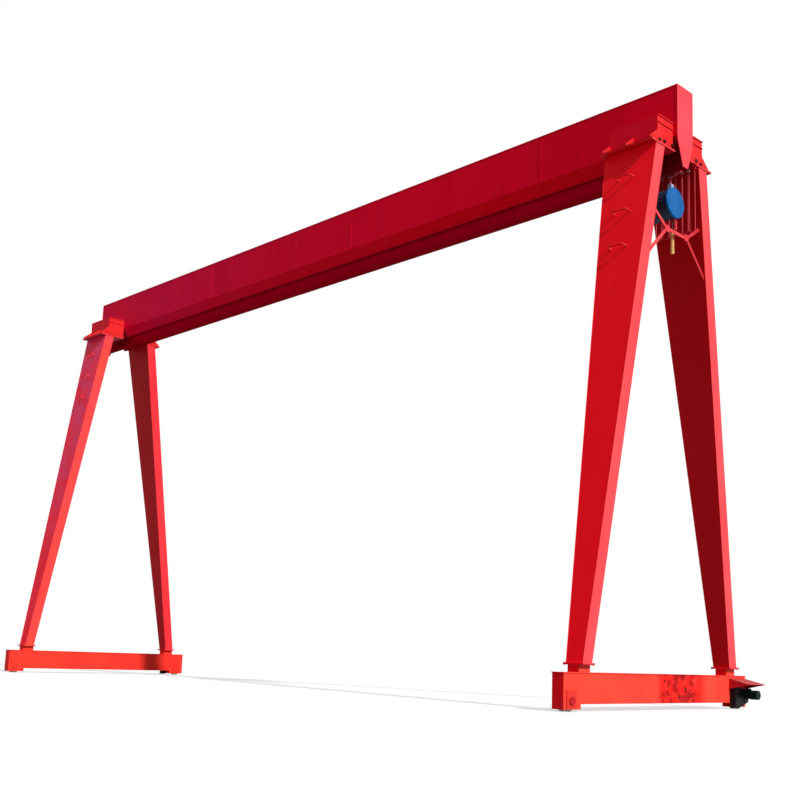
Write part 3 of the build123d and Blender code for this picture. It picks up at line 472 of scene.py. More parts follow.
# painted shade: the brace's back members, away from the sun, are darker red
braceBackShade = dict(axis=(0, 1, 0), span=(0.15, 0.45), grain=4.0, broken=(0.1, 0.5), amount=0.7,
                 colour=(0.44, 0.012, 0.020))
nearHood = dict(axis=(1, 0, 0), span=(7.755, 7.775), grain=3.0, broken=(-1.0, 0.0), amount=0.92,
                colour=(0.42, 0.013, 0.020))
farHood = dict(nearHood, axis=(-1, 0, 0), span=(7.602, 7.622))
# painted shade: a dark strip along the foot of each saddle, just above the leg's flange, where shade falls
saddleFootShade = dict(axis=(0, 0, -1), span=(-8.10, -8.05), grain=5.0, broken=(-0.3, 0.4), amount=0.88,
                  colour=(0.14, 0.0005, 0.005))
# darker red towards the bottom of the brace
braceLowerDarkening = dict(axis=(0, 0, -1), span=(-7.9, -7.3), grain=3.0, broken=(0.3, 0.75), amount=0.4,
            colour=(0.30, 0.002, 0.006))
# painted shade: near-black patches at the hoist's end of the rail and slope, where the underside lies in
# shade
nearEndShade = dict(axis=(1, 0, 0), span=(7.0, 7.5), grain=2.0, broken=(-0.2, 0.5), amount=0.65,
                  colour=(0.06, 0.0004, 0.003))
# In the looks below, the sun-side amount and colour are painted sunlight, and the downward amount and depth
# are painted shade
legLook = dict(fade=0.6, patchScale=0.5, blotches=0.10, streaks=0.2, wave=0.4, sunlightAmount=1.0)
beamLook = dict(fade=0.6, patchScale=0.8, dust=0.2, grime=0.2, wear=0.5, streaks=0.15, sunlightAmount=1.0)
paints = {
    "girder": dict(colour=(0.72, 0.0004, 0.018), faded=(0.90, 0.0008, 0.034), fade=0.6, patchScale=0.22,
                   wave=0.4, dust=0.12, shine=0.02, zones=(farTint,)),
    "slope": dict(colour=(0.74, 0.0004, 0.009), faded=(0.82, 0.0008, 0.018), patchScale=0.25, dust=0.1,
                  shine=0.02, shadeAmount=0.0, zones=(farTint,), marks=(nearEndShade,)),
    "rail": dict(colour=(0.52, 0.0004, 0.018), faded=(0.60, 0.001, 0.026), wear=0.3, dust=0.2, shine=0.0,
                 shadeAmount=0.35, marks=(nearEndShade,)),
    "endPlate": dict(colour=(0.66, 0.002, 0.016), faded=(0.74, 0.006, 0.030), sunlightAmount=1.0,
                     paintedSunlight=(0.86, 0.072, 0.092), dust=0.1, wave=0.35),
    "leg": dict(legLook, colour=(0.96, 0.0030, 0.012), faded=(1.0, 0.007, 0.018), streaks=0.16,
                paintedSunlight=(0.80, 0.080, 0.092)),
    "farLeg": dict(legLook, colour=(0.94, 0.010, 0.036), faded=(0.98, 0.022, 0.060), patchScale=0.8,
                   blotches=0.12, paintedSunlight=(0.86, 0.062, 0.048), zones=(highBlotches,)),
    "farBackLeg": dict(legLook, colour=(0.96, 0.004, 0.016), faded=(1.0, 0.009, 0.022),
                       paintedSunlight=(0.76, 0.036, 0.046)),
    "saddle": dict(colour=(0.74, 0.0005, 0.018), faded=(0.82, 0.001, 0.022), fade=0.6, patchScale=1.6,
                   wear=0.35, sunlightAmount=0.95, paintedSunlight=(0.72, 0.024, 0.022), zones=(saddleFootShade,)),
    "beam": dict(beamLook, colour=(0.72, 0.0010, 0.008), faded=(0.80, 0.004, 0.012), grime=0.22,
                 paintedSunlight=(0.87, 0.062, 0.036), marks=(beamRubbed, beamScuffs, beamSpots, nearHood)),
    "farBeam": dict(beamLook, colour=(0.80, 0.003, 0.010), faded=(0.88, 0.010, 0.014),
                    paintedSunlight=(0.88, 0.040, 0.024), marks=(farHood,)),
    "rung": dict(colour=(0.84, 0.004, 0.012), faded=(0.92, 0.030, 0.030), fade=0.6, patchScale=2.5,
                 wear=0.7, wave=0.0, sunlightAmount=1.0, paintedSunlight=(0.92, 0.075, 0.065)),
    "brace": dict(colour=(0.80, 0.008, 0.014), faded=(0.88, 0.030, 0.030), patchScale=1.8, wear=0.6,
                  sunlightAmount=1.0, paintedSunlight=(0.80, 0.070, 0.080), zones=(braceLowerDarkening,), marks=(braceBackShade,)),
    "track": dict(colour=(0.50, 0.0006, 0.018), faded=(0.58, 0.004, 0.024), patchScale=1.5, wear=0.4,
                  dust=0.2, shine=0.02),
    "fixing": dict(colour=(0.66, 0.003, 0.012), faded=(0.40, 0.010, 0.010), fade=0.8, patchScale=6,
                   wear=0.9, wearWidth=0.002, wave=0.0, sunlightAmount=0.35),
    "darkBolt": dict(colour=(0.045, 0.004, 0.010), faded=(0.09, 0.010, 0.016), patchScale=6, wear=0.6,
                     wave=0.0),
    "drive": dict(colour=(0.003, 0.003, 0.0032), faded=(0.010, 0.009, 0.009), patchScale=4, dust=0.06,
                  grime=0.05, under=(0.05, 0.045, 0.04), wave=0.0, shine=0.12),
    "motor": dict(colour=(0.0006, 0.014, 0.011), faded=(0.002, 0.026, 0.022), patchScale=4, dust=0.03,
                  under=(0.06, 0.055, 0.05), wave=0.0, shine=0.04),
    "hoistBlue": dict(colour=(0.003, 0.092, 0.300), faded=(0.008, 0.140, 0.410), fade=0.8, patchScale=5,
                      dust=0.1, streaks=0.25, wear=0.2, under=(0.03, 0.10, 0.25), wave=0.0, rough=0.36,
                      shine=0.08, shadeAmount=0.0),
    "hoistNavy": dict(colour=(0.030, 0.052, 0.140), faded=(0.055, 0.090, 0.210), patchScale=3, dust=0.2,
                      under=(0.10, 0.10, 0.11), wave=0.0, shine=0.25, shadeAmount=0.5),
    "box": dict(colour=(0.30, 0.38, 0.55), faded=(0.42, 0.49, 0.64), patchScale=3, dust=0.3,
                under=(0.12, 0.11, 0.10), wave=0.1, shine=0.3),
    "hookBlock": dict(colour=(0.80, 0.46, 0.02), faded=(0.85, 0.56, 0.10), patchScale=4, dust=0.3,
                      under=(0.13, 0.12, 0.10), wave=0.0, wear=0.9, shine=0.35),
}
finishes = {name: paintMaterial(f"{name}Paint", **look) for name, look in paints.items()}
finishes.update({
    "wheel": steelMaterial("wheelSteel", colour=(0.34, 0.32, 0.30), rough=0.42, rust=0.55, brush=(30, 1, 1),
                           grease=0.25),
    "bare": steelMaterial("bareSteel", rough=0.35, rust=0.3, grease=0.45),
    "tread": steelMaterial("rolledTread", colour=(0.50, 0.48, 0.46), rough=0.30, rust=0.12,
                           brush=(1, 40, 1), grease=0.2),
    "rope": steelMaterial("ropeSteel", colour=(0.30, 0.29, 0.27), rough=0.45, rust=0.2, grease=0.6),
    "carrier": steelMaterial("carrierZinc", colour=(0.60, 0.36, 0.38), rough=0.5, rust=0.15, metal=0.25),
    "hookSteel": steelMaterial("hookSteel", colour=(0.13, 0.12, 0.12), rough=0.5, rust=0.35, grease=0.2),
    "cable": plasticMaterial("cableSheath", (0.72, 0.060, 0.090)),
    "pendant": plasticMaterial("pendantPlastic", (1.0, 0.54, 0.18), rough=0.5, dusty=0.1),
    "stopButton": plasticMaterial("stopButtonPlastic", (0.55, 0.01, 0.01), rough=0.4),
    "black": plasticMaterial("blackRubber", (0.018, 0.018, 0.02)),
})

# Finish of each CAD node, by the longest beginning of its name that fits
nodeFinish = {
    "girder_": "girder", "girder_trough": "slope", "girder_end_plate": "endPlate", "rail_beam": "rail",
    "saddle_": "saddle", "leg_": "leg", "leg_far_front": "farLeg", "leg_far_back": "farBackLeg",
    "rungs_": "rung", "service_brace": "brace", "ground_beam_near": "beam", "ground_beam_far": "farBeam",
    "wheel_": "wheel", "drive_gearbox": "drive", "drive_motor": "motor", "hoist_": "hoistNavy",
    "hoist_end_cover": "hoistBlue", "hoist_drum": "bare", "hoist_drum_housing": "hoistNavy",
    "hoist_trolley_wheels": "bare", "hoist_terminal_box": "box", "hoist_control_box": "box",
    "hoist_limit_lever": "brace", "hoist_cable": "cable", "hoist_ropes": "rope",
    "pendant_station": "pendant", "pendant_stem": "black", "hook_block": "hookBlock", "hook": "hookSteel",
    "festoon_rail": "track", "festoon_carrier": "carrier", "festoon_loop": "cable",
}
for nodeName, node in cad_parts.items():
    key = max((k for k in nodeFinish if nodeName.startswith(k)), key=len)
    for materialSlot in node.material_slots:
        materialSlot.material = finishes[nodeFinish[key]]
print("finishes made")

# Cables: festoon loops between their carriers, and the lead to the hoist. Half a loop goes down from its
# clamp ("fall") and round to the middle ("bend"): shares of its half width and sway, and metres of height.
festoon = {"root": 8.115, "pitch": 0.785 / 7, "y": 0.33, "clampZ": 7.865, "seat": 0.0005, "strand": 0.009,
           "drop": 0.95, "radius": 0.005, "grip": 0.006,
           "sway": (0.006, -0.007, 0.008, -0.006, 0.007, -0.008, 0.006),
           "fall": ((1, 0, 0), (1, 0, 0.25), (1, 0.35, 0.5), (1, 0.75, 0.74)),
           "bend": ((1, 1, 0.065), (0.93, 1, 0.020), (0.55, 1, -0.003))}
lead = {"radius": 0.006,
        "route": ((7.3665, 0.211, 7.870), (7.62, 0.211, 7.8619), (7.90, 0.211, 7.853),
                  (7.981, 0.200, 7.8455), (7.975, 0.145, 7.803), (7.937, -0.010, 7.692),
                  (7.930, -0.036, 7.660), (7.929, -0.040, 7.625), (7.929, -0.040, 7.5786))}


def splinePoints(name, route):  # points along the smooth line that the route controls
    curve = bpy.data.curves.new(name, "CURVE")
    curve.dimensions = "3D"
    spline = curve.splines.new("NURBS")
    spline.points.add(len(route) - 1)
    for point, place in zip(spline.points, route):
        point.co = (*place, 1)
    spline.order_u = 3
    spline.use_endpoint_u = True
    spline.resolution_u = 12
    holder = bpy.data.objects.new(name, curve)
    mesh = bpy.data.meshes.new_from_object(holder)
    points = [v.co.copy() for v in mesh.vertices]
    bpy.data.objects.remove(holder)
    bpy.data.meshes.remove(mesh)
    return points


def pathLength(points):
    return sum((b - a).length for a, b in zip(points, points[1:]))


reach = festoon["pitch"] / 2 - festoon["strand"]
top = festoon["clampZ"] - festoon["seat"]
bottom = festoon["clampZ"] - festoon["drop"]
for number, sway in enumerate(festoon["sway"], 1):
    right = festoon["root"] - (number - 1) * festoon["pitch"]
    left = right - festoon["pitch"]
    middle = (right + left) / 2
    half = [(reach * wide, sway * aside, top - down) for wide, aside, down in festoon["fall"]]
    half += [(reach * wide, sway * aside, bottom + up) for wide, aside, up in festoon["bend"]]
    route = [(middle + x, festoon["y"] + y, z) for x, y, z in half]
    route += [(middle - x, festoon["y"] + y, z) for x, y, z in half[::-1]]
    path = splinePoints(f"loopRoute{number}", route)
    bm = bmesh.new()
    addTube(bm, path, festoon["radius"], 10)
    loop = fromBmesh(f"festoonLoop{number}", bm, "cable", None, True)
    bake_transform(loop)
    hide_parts(f"festoon_loop_{number}")

leadPath = splinePoints("leadRoute", lead["route"])
bm = bmesh.new()
addTube(bm, leadPath, lead["radius"], 10)
hoistLead = fromBmesh("hoistLead", bm, "cable", "hoist", True)
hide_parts("hoist_cable")
print("cables hung", round(pathLength(path), 3), round(pathLength(leadPath), 3))

# Welds on the girder, along and across the corners of its plates (y and z)
girder = {"seams": (-3.48, 1.07, 5.64), "seamBead": 0.005, "seamStep": 0.008, "halfLength": 8.14,
          "longBead": 0.004, "longStep": 0.03, "corners": ((0.202, 8.99), (0.202, 8.21), (0.068, 8.045))}
bm = bmesh.new()
for seamX in girder["seams"]:
    for side in (-1, 1):
        for (y, z), (nextY, nextZ) in zip(girder["corners"], girder["corners"][1:]):
            addBead(bm, (seamX, side * y, z), (seamX, side * nextY, nextZ), girder["seamBead"],
                    girder["seamStep"])
for side in (-1, 1):
    for y, z in girder["corners"]:
        addBead(bm, (-girder["halfLength"], side * y, z), (girder["halfLength"], side * y, z),
                girder["longBead"], girder["longStep"])
fromBmesh("girderWelds", bm, "girder", "crane", True)

# Bright track that the trolley has rolled on the rail, and the upper lip of the festoon rail's front
tread = {"from": -8.05, "to": 8.10, "inner": 0.030, "outer": 0.064, "z": 7.839, "thick": 0.00015}
lip = {"from": -7.895, "to": 8.125, "y": 0.3105, "thick": 0.003, "low": 7.930, "high": 7.972}
bm = bmesh.new()
for side in (-1, 1):
    inner, outer = sorted((side * tread["inner"], side * tread["outer"]))
    addBox(bm, (tread["from"], inner, tread["z"]), (tread["to"], outer, tread["z"] + tread["thick"]))
fromBmesh("railTread", bm, "tread", "crane")
bm = bmesh.new()
addBox(bm, (lip["from"], lip["y"], lip["low"]), (lip["to"], lip["y"] + lip["thick"], lip["high"]))
fromBmesh("festoonRailLip", bm, "track", "crane")

# Flange bolts and nuts at the heads and feet of the legs, and the large bolts in the saddles' ends
frames = {"near": 7.66, "far": -7.507}
headJoint = {"x": 0.430, "ys": (0.235, 0.325, 0.415, 0.735), "size": 0.0105, "top": 7.984, "under": 7.956,
             "rowY": 0.767, "rowXs": (-0.33, -0.2, -0.07, 0.07, 0.2, 0.33), "rowSize": 0.0150}
footJoint = {"y": 1.816, "dx": 0.1445, "dy": 0.114, "size": 0.0068, "top": 0.611, "under": 0.583}
saddleEnd = {"x": 0.41, "bolts": ((0.225, 8.05), (0.43, 8.05), (0.555, 8.03)), "size": 0.025}


def boltThrough(bm, x, y, joint, size, nut=True):  # head above the two flanges, nut beneath them
    addBolt(bm, (x, y, joint["top"]), zAxis, size)
    if nut:
        addBolt(bm, (x, y, joint["under"]), -zAxis, size)


for frameName, frameX in frames.items():
    away = 1 if frameX > 0 else -1
    bm = bmesh.new()
    for side in (-1, 1):
        for end in (-1, 1):
            for y in headJoint["ys"]:
                boltThrough(bm, frameX + end * headJoint["x"], side * y, headJoint, headJoint["size"])
        for x in headJoint["rowXs"]:
            boltThrough(bm, frameX + x, side * headJoint["rowY"], headJoint, headJoint["rowSize"])
        for dx in (-1, 0, 1):
            for dy in (-1, 0, 1):
                if dx or dy:
                    x, y = frameX + dx * footJoint["dx"], side * footJoint["y"] + dy * footJoint["dy"]
                    boltThrough(bm, x, y, footJoint, footJoint["size"], nut=bool(dx))
    fromBmesh(f"legBolts_{frameName}", bm, "fixing", "crane")
    bm = bmesh.new()
    for side in (-1, 1):
        for y, z in saddleEnd["bolts"]:
            addBolt(bm, (frameX + away * saddleEnd["x"], side * y, z), xAxis * away, saddleEnd["size"])
    fromBmesh(f"saddleBolts_{frameName}", bm, "darkBolt", "crane")

# Beads at the rungs' ends, along the legs' corners and round the feet
leg = {"topZ": 7.956, "bottomZ": 0.611, "topY": 0.674, "bottomY": 1.916, "topInner": 0.460,
       "bottomInner": 1.716, "topHalf": 0.435, "bottomHalf": 0.130, "bead": 0.0035, "step": 0.03}
rung = {"zs": (7.5, 6.955, 6.41), "offset": -0.025, "half": 0.125, "ring": 0.012, "bead": 0.0045}
foot = {"halfX": 0.088, "halfY": 0.120, "y": 1.816, "zs": (0.491, 0.583), "bead": 0.005, "step": 0.012}


def legOuterY(z):
    share = (z - leg["bottomZ"]) / (leg["topZ"] - leg["bottomZ"])
    return leg["bottomY"] + (leg["topY"] - leg["bottomY"]) * share


legLean = math.atan2(leg["bottomY"] - leg["topY"], leg["topZ"] - leg["bottomZ"])
outward = Vector((0, -math.cos(legLean), math.sin(legLean)))
for frameName, frameX in frames.items():
    bm = bmesh.new()
    for z in rung["zs"]:
        for end in (-1, 1):
            at = (frameX + rung["offset"] + end * rung["half"], -legOuterY(z), z)
            addRing(bm, at, outward, rung["ring"], rung["bead"], 24)
    for side in (-1, 1):
        for end in (-1, 1):
            for topY, bottomY in ((leg["topY"], leg["bottomY"]), (leg["topInner"], leg["bottomInner"])):
                addBead(bm, (frameX + end * leg["topHalf"], side * topY, leg["topZ"]),
                        (frameX + end * leg["bottomHalf"], side * bottomY, leg["bottomZ"]), leg["bead"],
                        leg["step"])
        for z in foot["zs"]:
            corners = [(frameX + x * foot["halfX"], side * foot["y"] + y * foot["halfY"], z)
                       for x, y in ((-1, -1), (1, -1), (1, 1), (-1, 1))]
            addBeadLoop(bm, corners, foot["bead"], foot["step"])
    fromBmesh(f"legWelds_{frameName}", bm, "leg", "crane", True)

# Angle brace: bolted gusset plates at its nodes
brace = {"face": 8.001, "plate": 0.006, "nodeY": 0.26, "nodeZ": 6.81, "reach": 0.050, "soften": 0.002,
         "bolt": 0.007, "bolts": ((0.030, 0.030), (0.030, -0.030), (-0.030, 0.0))}
plateFace = brace["face"] + brace["plate"]
bm = bmesh.new()
for side in (-1, 1):
    low = (brace["face"], side * brace["nodeY"] - brace["reach"], brace["nodeZ"] - brace["reach"])
    high = (plateFace, side * brace["nodeY"] + brace["reach"], brace["nodeZ"] + brace["reach"])
    addBox(bm, low, high, brace["soften"])
fromBmesh("braceGussets", bm, "brace", "crane")
bm = bmesh.new()
for side in (-1, 1):
    for dy, dz in brace["bolts"]:
        addBolt(bm, (plateFace, side * (brace["nodeY"] + dy), brace["nodeZ"] + dz), xAxis, brace["bolt"])
fromBmesh("braceBolts", bm, "fixing", "crane")
print("frames dressed")

# Wheel housings and travel drives. A round piece is its radius, height and radius at its tip; y and z
# pairs of the case are from the wheel's middle and from the ground.
wheelBay = {"y": 2.093, "z": 0.135, "capFace": 0.119, "boltCircle": 0.040, "bolt": 0.0075,
            "nipple": (0.006, 0.008, 0.003)}
gearCase = {"face": 0.180, "rib": 0.006, "cap": (0.050, 0.012, 0.046), "plug": (0.014, 0.008),
            "plugAt": (-0.205, 0.19), "bolt": 0.008,
            "rim": ((-0.295, 0.322), (-0.295, 0.025), (-0.215, 0.025), (0.075, 0.113), (0.075, 0.282)),
            "bolts": ((-0.28, 0.300), (-0.15, 0.285), (0.06, 0.265), (0.06, 0.125), (-0.10, 0.075),
                      (-0.22, 0.045), (-0.285, 0.045), (-0.285, 0.17))}
driveMotor = {"z": 0.215, "grilleX": 0.393, "rings": (0.016, 0.027, 0.038, 0.049, 0.060), "wire": 0.002,
              "spoke": (0.008, 0.064), "spokeRadius": 0.0022}
terminals = {"from": 0.200, "to": 0.262, "half": 0.036, "low": 0.056, "high": 0.092, "soften": 0.004,
             "inset": 0.010, "screwY": 0.028, "screw": 0.004, "glandUp": 0.074,
             "gland": (0.010, 0.016, 0.009)}
hood = {"inner": 0.090, "outer": 0.420, "low": 1.768, "high": 2.248, "topZ": 0.450, "lipZ": 0.369,
        "lip": 0.0035, "bead": 0.004, "step": 0.012}
for frameName, frameX in frames.items():
    away = 1 if frameX > 0 else -1
    wheelY, motorZ = wheelBay["y"], driveMotor["z"]
    bm = bmesh.new()
    for side in (-1, 1):
        for face in (-1, 1):
            if side == 1 and face == away:  # the drive's own case is here
                continue
            centre = (frameX + face * wheelBay["capFace"], side * wheelY, wheelBay["z"])
            for a in circle(4, math.pi / 4):
                addBolt(bm, aroundX(*centre, wheelBay["boltCircle"], a), xAxis * face, wheelBay["bolt"])
            radius, height, tip = wheelBay["nipple"]
            addRound(bm, centre, xAxis * face, radius, height, 12, tip)
    fromBmesh(f"bearingBolts_{frameName}", bm, "fixing", "crane")
    caseFace = frameX + away * gearCase["face"]
    bm = bmesh.new()
    rim = [(caseFace, wheelY + y, z) for y, z in gearCase["rim"]]
    for start, end in zip(rim, rim[1:] + rim[:1]):
        addTube(bm, (start, end), gearCase["rib"])
    radius, height, tip = gearCase["cap"]
    addRound(bm, (caseFace, wheelY, wheelBay["z"]), xAxis * away, radius, height, 36, tip)
    addRound(bm, (caseFace, wheelY + gearCase["plugAt"][0], gearCase["plugAt"][1]), xAxis * away,
             *gearCase["plug"])
    for y, z in gearCase["bolts"]:
        addBolt(bm, (caseFace, wheelY + y, z), xAxis * away, gearCase["bolt"])
    fromBmesh(f"gearCaseTrim_{frameName}", bm, "drive", "crane")
    hub = Vector((frameX + away * driveMotor["grilleX"], wheelY, motorZ))
    bm = bmesh.new()
    for radius in driveMotor["rings"]:
        addRing(bm, hub, xAxis, radius, driveMotor["wire"], sides=6)
    for a in circle(4, math.pi / 4):
        spoke = Vector(aroundX(0, 0, 0, 1, a))
        ends = [hub + spoke * radius for radius in driveMotor["spoke"]]
        addTube(bm, ends, driveMotor["spokeRadius"], 6)
    fromBmesh(f"motorGrille_{frameName}", bm, "black", "crane", True)
    bm = bmesh.new()
    low, high = sorted((frameX + away * terminals["from"], frameX + away * terminals["to"]))
    lidZ = motorZ + terminals["high"]
    addBox(bm, (low, wheelY - terminals["half"], motorZ + terminals["low"]),
           (high, wheelY + terminals["half"], lidZ), terminals["soften"])
    for x in (low + terminals["inset"], high - terminals["inset"]):
        for y in (-terminals["screwY"], terminals["screwY"]):
            addBolt(bm, (x, wheelY + y, lidZ), zAxis, terminals["screw"])
    radius, height, tip = terminals["gland"]
    addRound(bm, ((low + high) / 2, wheelY - terminals["half"], motorZ + terminals["glandUp"]), -yAxis,
             radius, height, 6, tip)
    fromBmesh(f"motorTerminals_{frameName}", bm, "motor", "crane")
    bm = bmesh.new()
    inner, outer = frameX + away * hood["inner"], frameX + away * hood["outer"]
    addBead(bm, (inner, hood["low"], hood["topZ"]), (inner, hood["high"], hood["topZ"]), hood["bead"],
            hood["step"])
    addTube(bm, ((outer, hood["low"], hood["lipZ"]), (outer, hood["high"], hood["lipZ"])), hood["lip"])
    fromBmesh(f"hoodEdge_{frameName}", bm, "beam", "crane", True)
print("drives dressed")

# Hoist: cover rim and screws, motor bands, bolts of the gear case and its boss, trolley pins.
# The cover's rings are radius, wire and number of steps; the boss's cap is radius, height and tip.
hoist = {"z": 7.28, "coverFace": 7.990, "screwCircle": 0.2055, "screw": 0.0055,
         "coverRings": ((0.186, 0.0028, 72), (0.060, 0.0025, 48)),
         "bandXs": (7.569, 7.953), "band": (0.2155, 0.0045, 72), "gearFace": 6.831, "gearBolt": 0.010,
         "gearBolts": ((-0.165, 0.18), (0.165, 0.18), (0.165, -0.18), (-0.165, -0.18), (0, 0.195),
                       (0, -0.195), (-0.18, 0), (0.18, 0)),
         "bossFace": 6.801, "bossCircle": 0.095, "bossBolt": 0.009, "bossCap": (0.034, 0.007, 0.030)}
trolley = {"wheelXs": (6.966, 7.116, 7.416, 7.566), "wheelZ": 7.8993, "face": 0.092, "pin": 0.016}
coverCentre = (hoist["coverFace"], 0, hoist["z"])
bossCentre = (hoist["bossFace"], 0, hoist["z"])
bm = bmesh.new()
for a in circle(8, math.pi / 8):
    addBolt(bm, aroundX(*coverCentre, hoist["screwCircle"], a), xAxis, hoist["screw"])
for ring in hoist["coverRings"]:
    addRing(bm, coverCentre, xAxis, *ring)
fromBmesh("coverTrim", bm, "hoistBlue", "hoist", True)
bm = bmesh.new()
for bandX in hoist["bandXs"]:
    addRing(bm, (bandX, 0, hoist["z"]), xAxis, *hoist["band"])
for y, z in hoist["gearBolts"]:
    addBolt(bm, (hoist["gearFace"], y, hoist["z"] + z), -xAxis, hoist["gearBolt"])
for a in circle(6):
    addBolt(bm, aroundX(*bossCentre, hoist["bossCircle"], a), -xAxis, hoist["bossBolt"])
radius, height, tip = hoist["bossCap"]
addRound(bm, bossCentre, -xAxis, radius, height, 32, tip)
fromBmesh("hoistBolts", bm, "hoistNavy", "hoist")
bm = bmesh.new()
for wheelX in trolley["wheelXs"]:
    for side in (-1, 1):
        addBolt(bm, (wheelX, side * trolley["face"], trolley["wheelZ"]), yAxis * side, trolley["pin"])
fromBmesh("trolleyPins", bm, "bare", "hoist")

# Terminal box on the motor: rim under its lid, two screws, the gland's nut
terminalBox = {"low": (7.897, -0.072), "high": (7.961, -0.008), "top": 7.5586, "proud": 0.003,
               "coverGap": 0.001, "rim": (0.016, 0.010), "soften": 0.001, "inset": 0.010,
               "screwDown": 0.026, "screw": 0.0035, "glandAt": (7.929, -0.040), "glandNut": (0.0165, 0.007)}
(lowX, lowY), (highX, highY), top = terminalBox["low"], terminalBox["high"], terminalBox["top"]
rimLow, rimHigh = (top - down for down in terminalBox["rim"])
bm = bmesh.new()
addBox(bm, (lowX - terminalBox["proud"], lowY - terminalBox["proud"], rimLow),
       (highX - terminalBox["coverGap"], highY + terminalBox["proud"], rimHigh), terminalBox["soften"])
for y in (lowY + terminalBox["inset"], highY - terminalBox["inset"]):
    addBolt(bm, (lowX, y, top - terminalBox["screwDown"]), -xAxis, terminalBox["screw"])
addRound(bm, (*terminalBox["glandAt"], top), zAxis, *terminalBox["glandNut"], 6)
fromBmesh("terminalBoxLid", bm, "box", "hoist")

# Control box: door on two hinges and a rain strip, then its lock and the glands beneath
controlBox = {"low": (6.836, 0.20, 7.13), "high": (6.966, 0.34, 7.43), "door": 0.003, "sunk": 0.001,
              "doorInset": (0.008, 0.010), "doorSoften": 0.0015, "hingeIn": 0.05, "hingeAt": (0.007, 0.002),
              "hinge": (0.004, 0.040, 16), "stripOver": 0.004, "stripForward": 0.012, "stripHalf": 0.002,
              "stripSoften": 0.001, "lockIn": 0.020, "lock": (0.009, 0.004), "keyHalf": (0.0015, 0.007),
              "keyOut": (0.003, 0.007), "glandsIn": (0.035, 0.065, 0.095), "gland": (0.011, 0.014, 0.009)}
low, high = Vector(controlBox["low"]), Vector(controlBox["high"])
middle = (low + high) / 2
doorX, doorZ = controlBox["doorInset"]
hingeX, hingeY = controlBox["hingeAt"]
over, half = controlBox["stripOver"], controlBox["stripHalf"]
bm = bmesh.new()
addBox(bm, (low.x + doorX, high.y - controlBox["sunk"], low.z + doorZ),
       (high.x - doorX, high.y + controlBox["door"], high.z - doorZ), controlBox["doorSoften"])
for z in (low.z + controlBox["hingeIn"], high.z - controlBox["hingeIn"]):
    radius, height, sides = controlBox["hinge"]
    addRound(bm, (low.x + hingeX, high.y + hingeY, z - height / 2), zAxis, radius, height, sides)
addBox(bm, (low.x - over, low.y + controlBox["stripForward"], high.z - half),
       (high.x + over, high.y + controlBox["stripForward"], high.z + half), controlBox["stripSoften"])
fromBmesh("controlBoxDoor", bm, "box", "hoist")
bm = bmesh.new()
lockX, lockFace = high.x - controlBox["lockIn"], high.y + controlBox["door"]
(keyX, keyZ), (keyFrom, keyTo) = controlBox["keyHalf"], controlBox["keyOut"]
addRound(bm, (lockX, lockFace, middle.z), yAxis, *controlBox["lock"])
addBox(bm, (lockX - keyX, lockFace + keyFrom, middle.z - keyZ),
       (lockX + keyX, lockFace + keyTo, middle.z + keyZ))
radius, height, tip = controlBox["gland"]
for x in controlBox["glandsIn"]:
    addRound(bm, (low.x + x, middle.y, low.z), -zAxis, radius, height, 6, tip)
fromBmesh("controlBoxFittings", bm, "black", "hoist")

# Twisted rope falls; the strands' places and thickness are shares of the rope's radius
ropes = {"x": 7.266, "spread": 0.0931, "top": 7.1357, "bottom": 6.86, "radius": 0.007, "strands": 6,
         "lay": 0.085, "steps": 60, "strandAt": 0.63, "strand": 0.36}
bm = bmesh.new()
for fall in (-1, 1):
    for strand in range(ropes["strands"]):
        points = []
        r = ropes["radius"] * ropes["strandAt"]
        for step in range(ropes["steps"] + 1):
            z = ropes["top"] + (ropes["bottom"] - ropes["top"]) * step / ropes["steps"]
            a = 2 * math.pi * (strand / ropes["strands"] + (ropes["top"] - z) / ropes["lay"])
            points.append((ropes["x"] + fall * ropes["spread"] + r * math.cos(a), r * math.sin(a), z))
        addTube(bm, points, ropes["radius"] * ropes["strand"], 6)
falls = fromBmesh("ropeFalls", bm, "rope", None, True)
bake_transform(falls)
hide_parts("hoist_ropes")

# Hook block: bolts, axle, rope sleeves, and the hook's latch of bent wire with its pin
block = {"x": 7.266, "z": 6.73, "face": 0.048, "boss": 0.058, "bolt": 0.010, "axle": 0.020, "top": 6.86,
         "bolts": ((-0.105, 0.095), (0.105, 0.095), (-0.060, -0.100), (0.060, -0.100)),
         "sleeve": (0.014, 0.0035, 32)}
latch = {"route": ((7.284, 6.497), (7.300, 6.470), (7.318, 6.444), (7.328, 6.428)), "half": 0.014,
         "wire": 0.0030, "tipHalf": 0.016, "tip": 0.0040, "pinHalf": 0.022, "pin": 0.0060}
bm = bmesh.new()
for side in (-1, 1):
    for x, z in block["bolts"]:
        addBolt(bm, (block["x"] + x, side * block["face"], block["z"] + z), yAxis * side, block["bolt"])
    addBolt(bm, (block["x"], side * block["boss"], block["z"]), yAxis * side, block["axle"])
for fall in (-1, 1):
    addRing(bm, (block["x"] + fall * ropes["spread"], 0, block["top"]), zAxis, *block["sleeve"])
fromBmesh("blockBolts", bm, "bare", "hook")
bm = bmesh.new()
(pinX, pinZ), (tipX, tipZ) = latch["route"][0], latch["route"][-1]
for side in (-1, 1):
    addTube(bm, [(x, side * latch["half"], z) for x, z in latch["route"]], latch["wire"])
addTube(bm, [(tipX, side * latch["tipHalf"], tipZ) for side in (-1, 1)], latch["tip"])
addTube(bm, [(pinX, side * latch["pinHalf"], pinZ) for side in (-1, 1)], latch["pin"], 12)
fromBmesh("hookLatch", bm, "bare", "hook", True)

